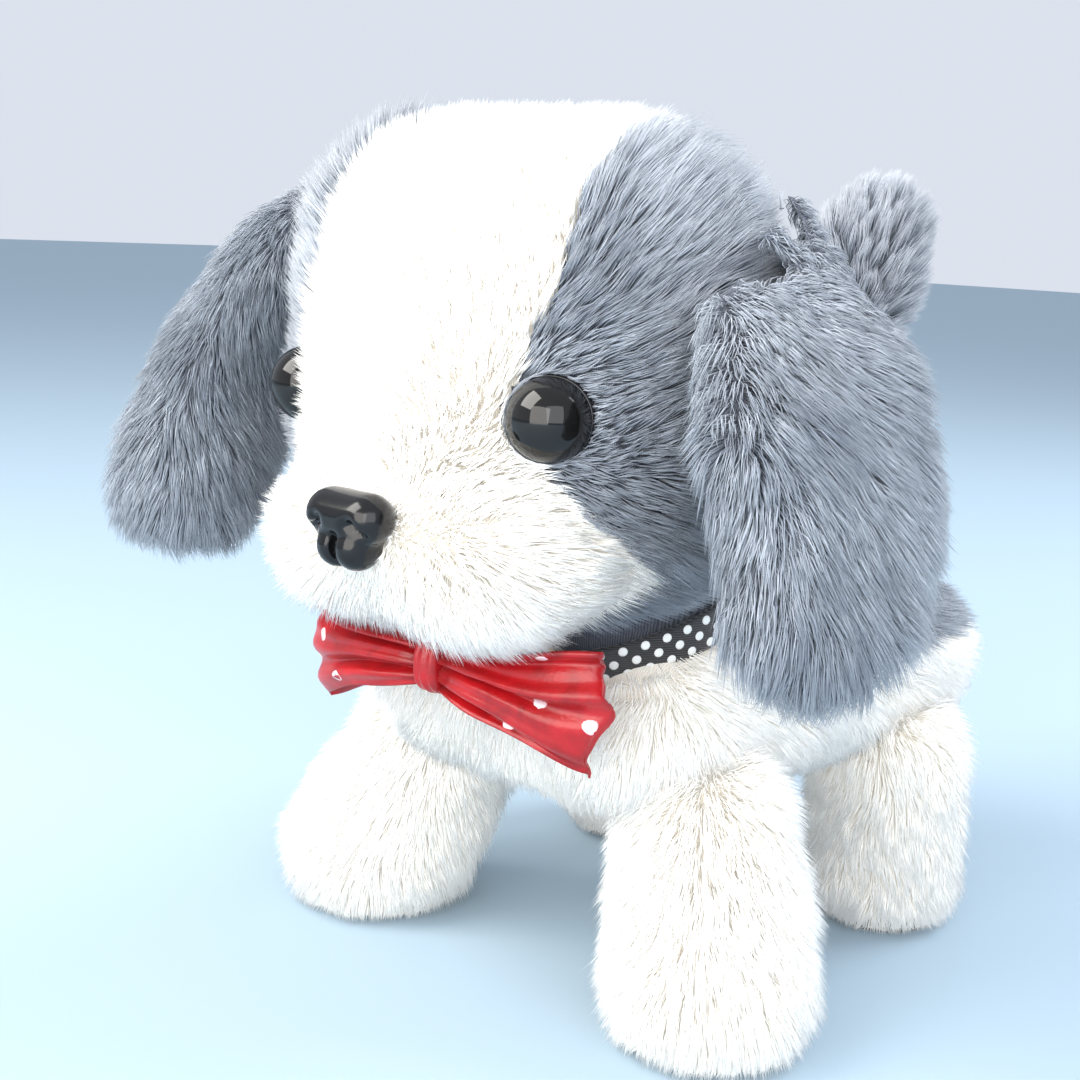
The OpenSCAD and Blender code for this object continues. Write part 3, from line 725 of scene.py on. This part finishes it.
def grow_ears():
    for side, s in SIDES.items():
        obj = remeshed(cad_copy(f"ear_{side}", f"ear_backing_{side}"), 2.4 * MM, 4)
        set_points(obj, get_points(obj) - get_normals(obj) * 4.5 * MM)
        obj = remeshed(obj, 2.6 * MM, 8)
        edge = np.abs((get_normals(obj) * vec(s, 0, 0.3)).sum(1)) < 0.12
        inflate(obj, 2 * MM, edge)
        at, normal, rng = scatter(obj, DENSITY, 21 + s)
        lo, hi = corners(f"ear_{side}")
        middle, height = (lo + hi) / 2, hi[2] - lo[2]
        root = vec(s * 42 * MM, head_c[1] + 4 * MM, hi[2] - 4 * MM)
        low = step(middle[2] - at[:, 2], -0.1 * height, 0.45 * height)[:, None]
        fan = (at[:, 1:2] - (lo[1] + 0.30 * (hi[1] - lo[1]))) / (22 * MM)
        hang = vec(0.05 * s, 0, -1.0) + vec(0, 1.0, 0) * fan * (0.45 + 0.35 * low)
        shown = norms((at - head_c) / (head_r + 1 * MM)) > 1.0
        shown &= norms(at - crown_centre(s)) > CROWN_R - 1 * MM
        at, normal, low, hang = at[shown], normal[shown], low[shown], hang[shown]
        near_root = 1 - step(norms(at - root), 22 * MM, 46 * MM)[:, None]
        flow = hang + vec(0.6 * s, 0.1, 0.2) * near_root
        length = (10 + 3.5 * low[:, 0] - 5.5 * near_root[:, 0]) * MM
        pile = Pile(at, normal, flow, rng, length, (42, 78), clump=2.8, gather=0.4)
        dress(obj, grey_cloth)
        add_padded(obj, "head", "grey_fur", 0.5)
        on_body(pile.pieces(f"ear_pile_{side}", grey_pile), "head", "grey_fur", f"ear_{side}")


# ----- body

def body_backing():
    parts = [ball(back_c, back_r - PILE_DEPTH)]
    belly = [ball(vec(s * x, y, belly_lo[2] + BELLY_R), BELLY_R - 5 * MM, detail=3)[0]
             for y, x in ((belly_lo[1] + BELLY_R, 24 * MM), (belly_hi[1] - BELLY_R, 26 * MM))
             for s in SIDES.values()]
    parts.append(hull_of(belly))
    parts.append(ball(collar_c + vec(0, -1, -1) * MM, collar_r - 4.5 * MM))
    obj = remeshed(merged("body_backing", parts), 2.8 * MM, 8)
    p = get_points(obj)
    seam = np.abs(p[:, 2] - SEAM_Z) < 1.8 * MM
    return inflate(obj, 1.5 * MM, seam | (p[:, 2] < belly_lo[2] + 8 * MM))


def in_collar(p):
    """Height above the collar's plane and distance from its axis."""
    d = p - collar_c
    c, s = cos(COLLAR_TILT), sin(COLLAR_TILT)
    y, z = d[:, 1] * c + d[:, 2] * s, -d[:, 1] * s + d[:, 2] * c
    return z, np.hypot(d[:, 0], y)


def body_flow(p):
    """The back's fur runs back and down, the chest's down and the belly's back."""
    front = step(belly_lo[1] + 22 * MM - p[:, 1], -12 * MM, 12 * MM)[:, None]
    under = step(belly_lo[2] + 10 * MM - p[:, 2], -6 * MM, 6 * MM)[:, None]
    back = vec(0, 0.75, -0.7)
    chest = vec(0, -0.25, -1.0)
    belly = vec(0, 1.0, -0.1)
    return (back * (1 - front) + chest * front) * (1 - under) + belly * under


def seam_height(p):
    """Height of the seam between grey and white: it climbs over the chest to the collar."""
    return SEAM_Z + 40 * MM * (1 - step(p[:, 1], -16 * MM, 4 * MM))


def body_limits(p):
    """Keeps the chest's fibres behind the collar strap and the bow."""
    z, r = in_collar(p)
    d = p - collar_c
    near = (np.abs(z) < STRAP_WIDTH / 2 + 0.3 * MM) & (np.abs(r - collar_r - 2 * MM) < 5 * MM)
    near &= p[:, 1] < 8 * MM
    pull = np.where(near, (collar_r - 3 * MM) / np.maximum(r, 1e-6), 1)[:, None]
    return collar_c + d * pull


def grow_body():
    backing = body_backing()
    at, normal, rng = scatter(backing, DENSITY * 0.95, 31)
    z, r = in_collar(at)
    inside_head = norms((at - head_c) / (head_r - 2 * MM)) < 1
    good = (z < -STRAP_WIDTH / 2 + 0.5 * MM) | (at[:, 1] > 10 * MM) | (r > collar_r + 3.5 * MM)
    good &= ~inside_head
    good &= ~belly_opening_mask(at)
    for end, side in itertools.product(ENDS, SIDES):
        good &= norms((at - leg_places(end, side)[2]) / (11 * MM)) >= 1
    at, normal = at[good], normal[good]
    grey = at[:, 2] > seam_height(at) + 0.8 * MM * noise(at, 6 * MM, 83)
    for mask, material, name, swirl in ((grey, grey_pile, "back", 0.3), (~grey, white_pile, "belly", 0.5)):
        p = at[mask]
        low = step(belly_lo[2] + 14 * MM - p[:, 2], 0, 10 * MM)
        pile = Pile(p, normal[mask], body_flow(p), rng, (10.5 - 2.5 * low) * MM, (34, 68), clump=2.8,
                    gather=0.34, swirl=swirl)
        pile.move(body_limits)
        slot = "grey_fur" if material is grey_pile else "white_fur"
        on_body(pile.pieces(f"{name}_pile", material), "torso", slot, f"{name}_fur")
    cut_opening(backing)
    centre = read(backing.data.polygons, "center")
    two_tone(backing, (centre[:, 2] < seam_height(centre)) & (in_collar(centre)[0] < 0))
    add_padded(backing, "torso", "white_fur", 0.7)


def belly_opening_mask(p):
    """True at points of the belly over the switch and the battery door."""
    inside = np.abs(p[:, 0]) < door_hi[0] + OPENING_SIDE
    inside &= (p[:, 1] > -22 * MM) & (p[:, 1] < door_hi[1] + 4.5 * MM)
    return inside & (p[:, 2] < belly_lo[2] + 12 * MM)


def cut_opening(obj):
    bm = bmesh.new()
    bm.from_mesh(obj.data)
    centre = np.array([f.calc_center_median() for f in bm.faces])
    gone = [f for f, cut in zip(bm.faces[:], belly_opening_mask(centre)) if cut]
    bmesh.ops.delete(bm, geom=gone, context="FACES")
    bm.to_mesh(obj.data)
    bm.free()
    thicken(obj, 0.8 * MM, -1)


# ----- legs and tail

def leg_backing(end):
    foot, radius, top = leg_places(end, "left")
    depth = 5 * MM
    rings = [(1.2 * MM, radius - 8 * MM), (3.5 * MM, radius - depth - 0.5 * MM),
             (10 * MM, radius - depth), (17 * MM, radius - depth)]
    x, y, up = np.eye(3)
    points = [circle(foot * (x + y) + z * up, r, x, y, 28) for z, r in rings]
    points.append(ball(top, 18.5 * MM - depth, detail=3)[0])
    obj = remeshed(merged(f"leg_backing_{end}_left", [hull_of(points)]), 2.4 * MM, 3)
    q = get_points(obj)
    return inflate(obj, 1.2 * MM, q[:, 2] < 2.5 * MM)


def above_floor(p):
    out = p.copy()
    out[:, 2] = np.maximum(out[:, 2], 0.35 * MM)
    return out


def grow_legs():
    for end in ENDS:
        backing = leg_backing(end)
        foot, radius, top = leg_places(end, "left")
        at, normal, rng = scatter(backing, DENSITY, 41 + (end == "front"))
        good = (at[:, 2] > 2.2 * MM) | (np.hypot(at[:, 0] - foot[0], at[:, 1] - foot[1]) > 13 * MM)
        back_gap = norms((at - back_c) / (back_r - PILE_DEPTH))
        good &= back_gap > 0.98
        at, normal = at[good], normal[good]
        flow = vec(0.0, 0.0, -1.0) + 0.35 * (at - (foot + top) / 2) / radius
        high = step(at[:, 2], 4 * MM, 14 * MM)
        pile = Pile(at, normal, flow, rng, (6.5 + 4.5 * high) * MM, (30, 66), clump=3.0, gather=0.34,
                    swirl=0.45)
        pile.move(above_floor)
        for side, s in SIDES.items():
            cloth = backing
            if s < 0:
                cloth = new_object(f"leg_backing_{end}_right", backing.data.copy())
                set_points(cloth, get_points(backing) * vec(-1, 1, 1))
                cloth.data.flip_normals()
            dress(cloth, white_cloth)
            pieces = pile.part(flip=s).pieces(f"leg_pile_{end}_{side}", white_pile) + [cloth]
            for piece in pieces:
                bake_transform(piece)
            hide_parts(f"leg_fur_{end}_{side}")


def grow_tail():
    obj = remeshed(cad_copy("tail_fur", "tail_body"), 2.2 * MM, 3)
    set_points(obj, get_points(obj) - get_normals(obj) * 4 * MM)
    stem = vec((tail_lo[0] + tail_hi[0]) / 2, tail_lo[1] + 3 * MM, tail_lo[2] - 1 * MM)
    core = (get_points(obj), [list(f.vertices) for f in obj.data.polygons])
    bpy.data.objects.remove(obj)
    balls = [ball(stem + np.array(up) * MM, 5 * MM, detail=3) for up in ((0, 0, 0), (0, 3, 5))]
    obj = inflate(remeshed(merged("tail_backing", [core] + balls), 2.0 * MM, 4), 1.5 * MM)
    at, normal, rng = scatter(obj, DENSITY * 1.2, 51)
    flow = vec(0.0, 0.3, 1.0)
    pile = Pile(at, normal, flow, rng, 12 * MM, (22, 55), clump=3.4, gather=0.6, swirl=0.5)
    dress(obj, grey_cloth)
    add_padded(obj, "tail", "grey_fur", 0.6)
    on_body(pile.pieces("tail_pile", grey_pile), "tail", "grey_fur", "tail_fur")


# ----- eyes and nose

def lathe(name, profile, centre, axis, turns=64):
    """A closed turned shape: profile is [(radius, height along axis)], ending on the axis."""
    axis = unit(np.array(axis, float))
    side = unit(np.cross(axis, vec(0, 0, 1.0)))
    up = np.cross(side, axis)
    points = np.vstack([circle(centre + axis * h, r, side, up, turns) for r, h in profile])
    faces = grid_faces(len(profile), turns)
    faces.append(range(turns - 1, -1, -1))
    faces.append(range((len(profile) - 1) * turns, len(profile) * turns))
    return mesh_object(name, points, faces)


def make_eyes():
    # The eye's near-black carries a faint warm brown mottle: a painted amber-brown reflection.
    gloss = plastic("eye_gloss", (0.005, 0.0045, 0.0042), 0.05, grain=0.004, speckle=0.3,
                             Specular_IOR_Level=0.42)
    rim = plastic("eye_rim", (0.012, 0.012, 0.014), 0.22)
    for side, s in SIDES.items():
        centre, look = eye_place(s)
        r = eye_r * 0.95
        dome = [(r * cos(a), r * sin(a) + 0.4 * MM) for a in np.radians(np.arange(-25, 90, 5))]
        dome.append((0.02 * MM, r + 0.4 * MM))
        eye = lathe(f"eye_dome_{side}", dome, centre, look)
        dress(eye, gloss)
        lip = [(eye_r * share, h * MM) for share, h in (
            (0.86, -2), (0.98, -1.6), (1, -0.9), (0.985, -0.2), (0.955, 0.15), (0.93, 0.05), (0.92, -0.6))]
        ring = lathe(f"eye_washer_{side}", lip, centre, look)
        dress(ring, rim)
        on_body([eye, ring], "head", "black_gloss", f"eye_{side}")


def make_nose():
    """A moulded puppy nose: two wide lobes with curled nostrils over two small ones."""
    def lobe(place, radii):
        return ball(nose_c + np.array(place) * MM, np.array(radii) * MM)

    wide = [lobe((s * 4.2, 0.1, 1.9), (4.9, 5.3, 4.7))[0] for s in SIDES.values()]
    lobes = [hull_of(wide)]
    lobes += [lobe((s * 2.3, 0.1, -3.3), (3.6, 5.0, 4.3)) for s in SIDES.values()]
    lobes.append(lobe((0, 6.0, 0.5), (5.5, 4.0, 4.5)))
    obj = remeshed(merged("nose_moulding", lobes), 0.45 * MM, 6)
    p, n = get_points(obj), get_normals(obj)
    depth = np.zeros(len(p))
    front = step(nose_c[1] + 1 * MM - p[:, 1], 0, 2 * MM) * step(-n[:, 1], 0.25, 0.7)
    for s in SIDES.values():
        for x, z, wide, deep in ((4.2, 0.9, 1.2, 2.2), (5.4, -0.4, 0.9, 1.9), (6.6, -0.7, 0.7, 1.4)):
            d = np.hypot(p[:, 0] - (nose_c[0] + s * x * MM), p[:, 2] - (nose_c[2] + z * MM))
            depth += front * deep * MM * np.exp(-((d / (wide * MM)) ** 2))
    cleft = np.exp(-((p[:, 0] / (0.55 * MM)) ** 2)) * step(nose_c[2] - 0.2 * MM - p[:, 2], 0, 2 * MM)
    depth += front * 1.6 * MM * cleft
    p = p - n * np.minimum(depth, 2.6 * MM)[:, None]
    set_points(obj, nose_c + (p - nose_c) * vec(1.06, 1.0, 1.04))
    soft = obj.modifiers.new("smooth", "SMOOTH")
    soft.factor, soft.iterations = 0.5, 2
    bake_modifiers(obj)
    dress(obj, plastic("nose_gloss", (0.005, 0.0048, 0.0052), 0.16, grain=0.03, speckle=0.3,
                                Specular_IOR_Level=0.4))
    on_body([obj], "head", "black_gloss", "nose")


# ----- collar and bow

def dot_disc(surface, s, v, radius, lift, rim=14):
    """A printed dot: a thin closed disc that follows surface(s, v), which gives points."""
    h = 1e-3
    p0 = surface(s, v)
    ds, dv = (surface(s + h, v) - p0) / h, (surface(s, v + h) - p0) / h
    e1 = ds / np.linalg.norm(ds)
    normal = np.cross(ds, dv)
    normal /= np.linalg.norm(normal)
    e2 = np.cross(normal, e1)
    basis = np.stack([ds, dv], axis=1)
    layers = []
    for height, scale in ((-0.05 * MM, 1.0), (lift, 1.0), (lift * 1.25, 0.55), (lift * 1.3, 0.0)):
        for k in range(rim):
            a = tau * k / rim
            want = radius * scale * (cos(a) * e1 + sin(a) * e2)
            step_sv = np.linalg.lstsq(basis, want, rcond=None)[0]
            layers.append(surface(s + step_sv[0], v + step_sv[1]) + normal * height)
            if scale == 0:
                break
    faces = [tuple(range(rim))[::-1]] + grid_faces(3, rim)
    faces += [(2 * rim + k, 2 * rim + (k + 1) % rim, 3 * rim) for k in range(rim)]
    return np.array(layers), faces


def make_collar():
    turn = np.array(Matrix.Rotation(COLLAR_TILT, 3, "X"))
    outer, steps, rows = collar_r - 0.35 * MM, 240, 9

    def at(angle, height, radius):
        return collar_c + turn @ vec(radius * cos(angle), radius * sin(angle), height)

    def wave(angle):
        """Half the ribbon's slight wave up and down on its way round."""
        return (0.25 * sin(5 * angle) + 0.15 * sin(11 * angle + 1)) * MM * 0.5

    points = []
    for i in range(steps):
        a = tau * i / steps
        vs = [k / (rows - 1) - 0.5 for k in range(rows)]
        points += [at(a, v * STRAP_WIDTH + wave(a), outer - 0.25 * MM * (2 * v) ** 4) for v in vs]
        points += [at(a, -v * STRAP_WIDTH + wave(a), outer - 0.8 * MM) for v in vs]
    faces = grid_faces(steps, 2 * rows, closed=True, flip=True)
    ribbon = mesh_object("collar_ribbon", points, faces)
    cloth = Finish("grosgrain", Roughness=0.5, Sheen_Weight=0.3)
    ribs = cloth.texture("Wave", 650)
    ribs.bands_direction = "Z"
    cloth.colour(ribs, [(0.3, (0.006, 0.006, 0.007)), (0.8, (0.022, 0.022, 0.026))])
    cloth.bump(ribs, 0.5, 0.0003)
    dress(ribbon, cloth.material)

    def surface(s, v):
        return at(s, v * STRAP_WIDTH / 2 + wave(s), outer - 0.25 * MM * v**4)

    discs = []
    count = 52
    for i in range(count):
        for row in (-1, 0, 1):
            angle = tau * (i + (0.5 if row == 0 else 0)) / count
            discs.append(dot_disc(surface, angle, row * 0.62, 0.95 * MM, 0.1 * MM, 12))
    dots = merged("collar_dots", discs)
    dress(dots, ink)
    on_body([ribbon, dots], "torso", "dotted_ribbon", "collar_strap")

    angle = radians(-62)
    ring = []
    for k in range(48):
        a = tau * k / 48
        x, z = cos(a), sin(a)
        ring.append(at(angle + copysign(abs(x) ** 0.5, x) * 1.9 * MM / collar_r,
                       copysign(abs(z) ** 0.5, z) * 5.0 * MM, collar_r + 0.35 * MM))
    loop = wire("buckle_ring", ring, 0.55 * MM)
    bead = merged("buckle_bead", [ball(at(angle, s * 5.6 * MM, collar_r + 0.5 * MM), 1.0 * MM,
                                              detail=3) for s in SIDES.values()])
    gold = metal("polished_gold", (0.93, 0.66, 0.26), 0.16, 0.05)
    for piece in (loop, bead):
        dress(piece, gold)
    on_body([loop, bead], "torso", "gold_metal", "collar_buckle")


def wire(name, path, radius, turns=10):
    """A round wire along a closed path of points."""
    path = np.array(path)
    ahead = unit(np.roll(path, -1, axis=0) - np.roll(path, 1, axis=0))
    side = unit(np.cross(ahead, path - path.mean(0)))
    up = np.cross(side, ahead)
    points = np.vstack([circle(p, radius, a, b, turns) for p, a, b in zip(path, side, up)])
    return mesh_object(name, points, grid_faces(len(path), turns, closed=True))


def bow_surface(s, grow=0.0):
    """One gathered loop of the bow: t goes out along the front and back along the back,
    v runs from its lower edge to its upper one."""
    centre = (knot_lo + knot_hi) / 2
    reach = abs(bow_hi[0]) - 1.2 * MM
    top, bottom = bow_hi[2] - centre[2] - 0.8 * MM, centre[2] - bow_lo[2] - 0.8 * MM
    y_front = knot_lo[1] + 4.2 * MM

    def at(t, v):
        a = pi * t
        out = max(sin(a), 0) ** 0.62
        back = t > 0.5
        edge = reach * (1 - 0.10 * max(-v, 0) ** 1.5 - 0.03 * max(v, 0))
        edge += 1.1 * MM * sin(5 * v + 2 * s)
        x = 2.6 * MM + (edge - 2.6 * MM) * out
        if v > 0:
            z = v * (4.2 * MM + (top - 4.2 * MM) * out**1.15)
        else:
            z = v * (4.6 * MM + (bottom - 4.6 * MM) * out**1.1)
        z += (-0.9 * MM * out if back else 0) + 0.9 * MM * out * sin(7 * out + 2.2 * v)
        thick = (1.4 + 3.6 * sin(min(1, out) * pi * 0.55)) * MM
        y = -cos(a) * thick * (1 - 0.25 * v * v)
        fold = sin(v * 8.5 + 1.7 * s + 1.5 * out) + 0.6 * sin(v * 15 + 0.6 + 3 * out)
        y += (1.7 - 0.7 * out) * MM * fold * min(1, out * 2.2 + 0.35)
        y += 4.5 * MM * out**2
        return vec(s * x, y_front + y + (grow if back else -grow), centre[2] + z)

    return at


def make_bow():
    satin = Finish("red_satin", Roughness=0.34, Sheen_Weight=0.12, Sheen_Tint=(1, 0.2, 0.2, 1))
    reds = [(0.3, (0.20, 0.002, 0.004)), (0.55, (0.34, 0.003, 0.006)), (0.8, (0.46, 0.006, 0.010))]
    satin.colour(satin.texture("Noise", 140, Detail=3, Distortion=0.6), reds)
    satin.bump(satin.texture("Noise", 1800, Detail=2), 0.25, 0.0003)
    rng = np.random.default_rng(61)
    for side, s in SIDES.items():
        at = bow_surface(s)
        around, across = 72, 36
        grid = [at(t, v) for t in np.linspace(0.0, 1.0, around) for v in np.linspace(-1, 1, across)]
        faces = grid_faces(around, across, ring=False, flip=True)
        if s < 0:
            faces = [f[::-1] for f in faces]
        wing = mesh_object(f"bow_loop_{side}", grid, faces)
        thicken(wing, 0.4 * MM, 0)
        dress(wing, satin.material)
        printed = bow_surface(s, 0.28 * MM)
        spots, taken = [], []
        for t, v in zip(rng.uniform(0.12, 0.88, 260), rng.uniform(-0.86, 0.86, 260)):
            here = at(t, v)
            if all(np.linalg.norm(here - q) > 7.6 * MM for q in taken) and abs(t - 0.5) > 0.04:
                taken.append(here)
                disc, ring = dot_disc(printed, t, v, rng.uniform(1.1, 1.5) * MM, 0.08 * MM)
                if s > 0:
                    ring = [f[::-1] for f in ring]
                spots.append((disc, ring))
        dots = merged(f"bow_dots_{side}", spots)
        dress(dots, organza_ink)
        on_body([wing, dots], "torso", "red_satin", f"bow_wing_{side}")

    middle, half = (knot_lo + knot_hi) / 2, (knot_hi - knot_lo) / 2 - 0.15 * MM
    points, around, across = [], 56, 25
    for i in range(around):
        a = tau * i / around
        cy, cz = cos(a), sin(a)
        for k in range(across):
            x = 2 * k / (across - 1) - 1
            plump = (1 - 0.22 * abs(x) ** 3) + 0.035 * sin(9.5 * x + 0.6)
            y = copysign(abs(cy) ** 0.75, cy) * half[1] * plump
            z = copysign(abs(cz) ** 0.8, cz) * half[2] * (plump * 0.5 + 0.5)
            wide = half[0] * (1 - 0.10 * abs(cy))
            points.append(middle + vec(x * wide, y, z))
    faces = grid_faces(around, across, ring=False, closed=True)
    for k in (0, across - 1):
        rim = [i * across + k for i in range(around)]
        faces.append(rim if k == 0 else rim[::-1])
    knot = mesh_object("bow_band", points, faces)
    dress(knot, satin.material)
    on_body([knot], "torso", "red_satin", "bow_knot")


# ----- stuffing and the inside

def make_stuffing():
    fill = Finish("fibre_fill", Roughness=0.95)
    fluff = fill.texture("Noise", 220, Detail=6, Distortion=1.5)
    fill.colour(fluff, [(0.3, (0.72, 0.71, 0.68)), (0.7, (0.93, 0.93, 0.91))])
    fill.bump(fluff, 0.8, 0.002)
    for node, body in (("head_stuffing", "head"), ("body_stuffing", "torso")):
        obj = remeshed(cad_copy(node, f"{node.split('_')[0]}_fibre_fill"), 1.8 * MM, 2)
        p, n = get_points(obj), get_normals(obj)
        lumps = 0.9 + 0.5 * noise(p, 7 * MM, 15) + 0.3 * noise(p, 3 * MM, 25)
        set_points(obj, p - n * (lumps * MM)[:, None])
        dress(obj, fill.material)
        add_padded(obj, body, "stuffing", 0.9, node)


def finish_inside():
    """Gives every CAD node that still shows the finish of its slot."""
    finishes = {
        "shell_plastic": plastic("shell", (0.80, 0.80, 0.77), 0.42),
        "dark_plastic": plastic("dark_shell", (0.030, 0.030, 0.034), 0.45),
        "gear_plastic": plastic("acetal", (0.86, 0.84, 0.78), 0.35, grain=0.08),
        "steel": metal("bright_steel", (0.62, 0.62, 0.64), 0.28),
        "pinion_brass": metal("turned_brass", (0.76, 0.56, 0.26), 0.25),
        "cell_wrap": plastic("cell_sleeve", (0.55, 0.33, 0.06), 0.3, grain=0.05, speckle=0.25),
        "circuit_board": plastic("solder_mask", (0.02, 0.17, 0.06), 0.3, grain=0.1, speckle=0.5),
        "speaker_frame": plastic("speaker_frame", (0.05, 0.05, 0.055), 0.4),
        "sole_rubber": plastic("sole_rubber", (0.16, 0.16, 0.165), 0.75, grain=0.4, speckle=0.2),
    }
    slots = {s["node"]: s["material_slot"] for s in frame["record"]["subparts"]}
    for name, obj in frame["nodes"].items():
        if not obj.hide_render:
            dress(obj, finishes[slots[name]])


# ----- camera, light and floor

def camera_and_light():
    scene = bpy.context.scene
    scene.view_settings.view_transform = "Standard"
    cam = new_object("camera", bpy.data.cameras.new("camera"))
    scene.camera = cam
    azimuth, elevation, roll = map(radians, (41.8, 10.7, 2.8))
    target = Vector((-18, -16.8, 87.6)) * MM
    turn = (Matrix.Rotation(azimuth, 4, "Z") @ Matrix.Rotation(pi / 2 - elevation, 4, "X")
            @ Matrix.Rotation(roll, 4, "Z"))
    back = turn.to_3x3().col[2]
    cam.matrix_world = Matrix.Translation(target + back * 368 * MM) @ turn
    cam.data.sensor_width = 36
    cam.data.lens = 55.3
    cam.data.clip_start, cam.data.clip_end = 0.01, 20

    world = bpy.data.worlds.new("studio")
    scene.world = world
    world.use_nodes = True
    sky = world.node_tree.nodes["Background"]
    sky.inputs["Color"].default_value = (0.84, 0.90, 1.0, 1)
    sky.inputs["Strength"].default_value = 0.85
    for name, place, size, power, colour in (
            ("key", (-0.45, -0.75, 0.95), 0.8, 19, (1.0, 0.965, 0.91)),
            ("front", (0.30, -1.05, 0.35), 1.0, 15, (1.0, 0.965, 0.91)),
            ("fill", (0.9, -0.6, 0.5), 0.9, 7, (0.93, 0.96, 1.0)),
            ("rim", (0.45, 0.8, 0.8), 0.7, 10, (0.95, 0.97, 1.0))):
        lamp = bpy.data.lights.new(name, "AREA")
        lamp.energy, lamp.size, lamp.color = power, size, colour
        obj = new_object(name, lamp)
        obj.location = place
        obj.rotation_mode = "QUATERNION"
        obj.rotation_quaternion = (Vector((0, 0, 0.09)) - obj.location).to_track_quat("-Z", "Y")

    floor = mesh_object("floor", [(-6, -6, 0), (6, -6, 0), (6, 6, 0), (-6, 6, 0)], [(0, 1, 2, 3)])
    dress(floor, Finish("floor", Base_Color=(0.36, 0.47, 0.56, 1), Roughness=0.8).material)


camera_and_light()
grow_head()
grow_ears()
grow_body()
grow_legs()
grow_tail()
make_eyes()
make_nose()
make_collar()
make_bow()
make_stuffing()
finish_inside()
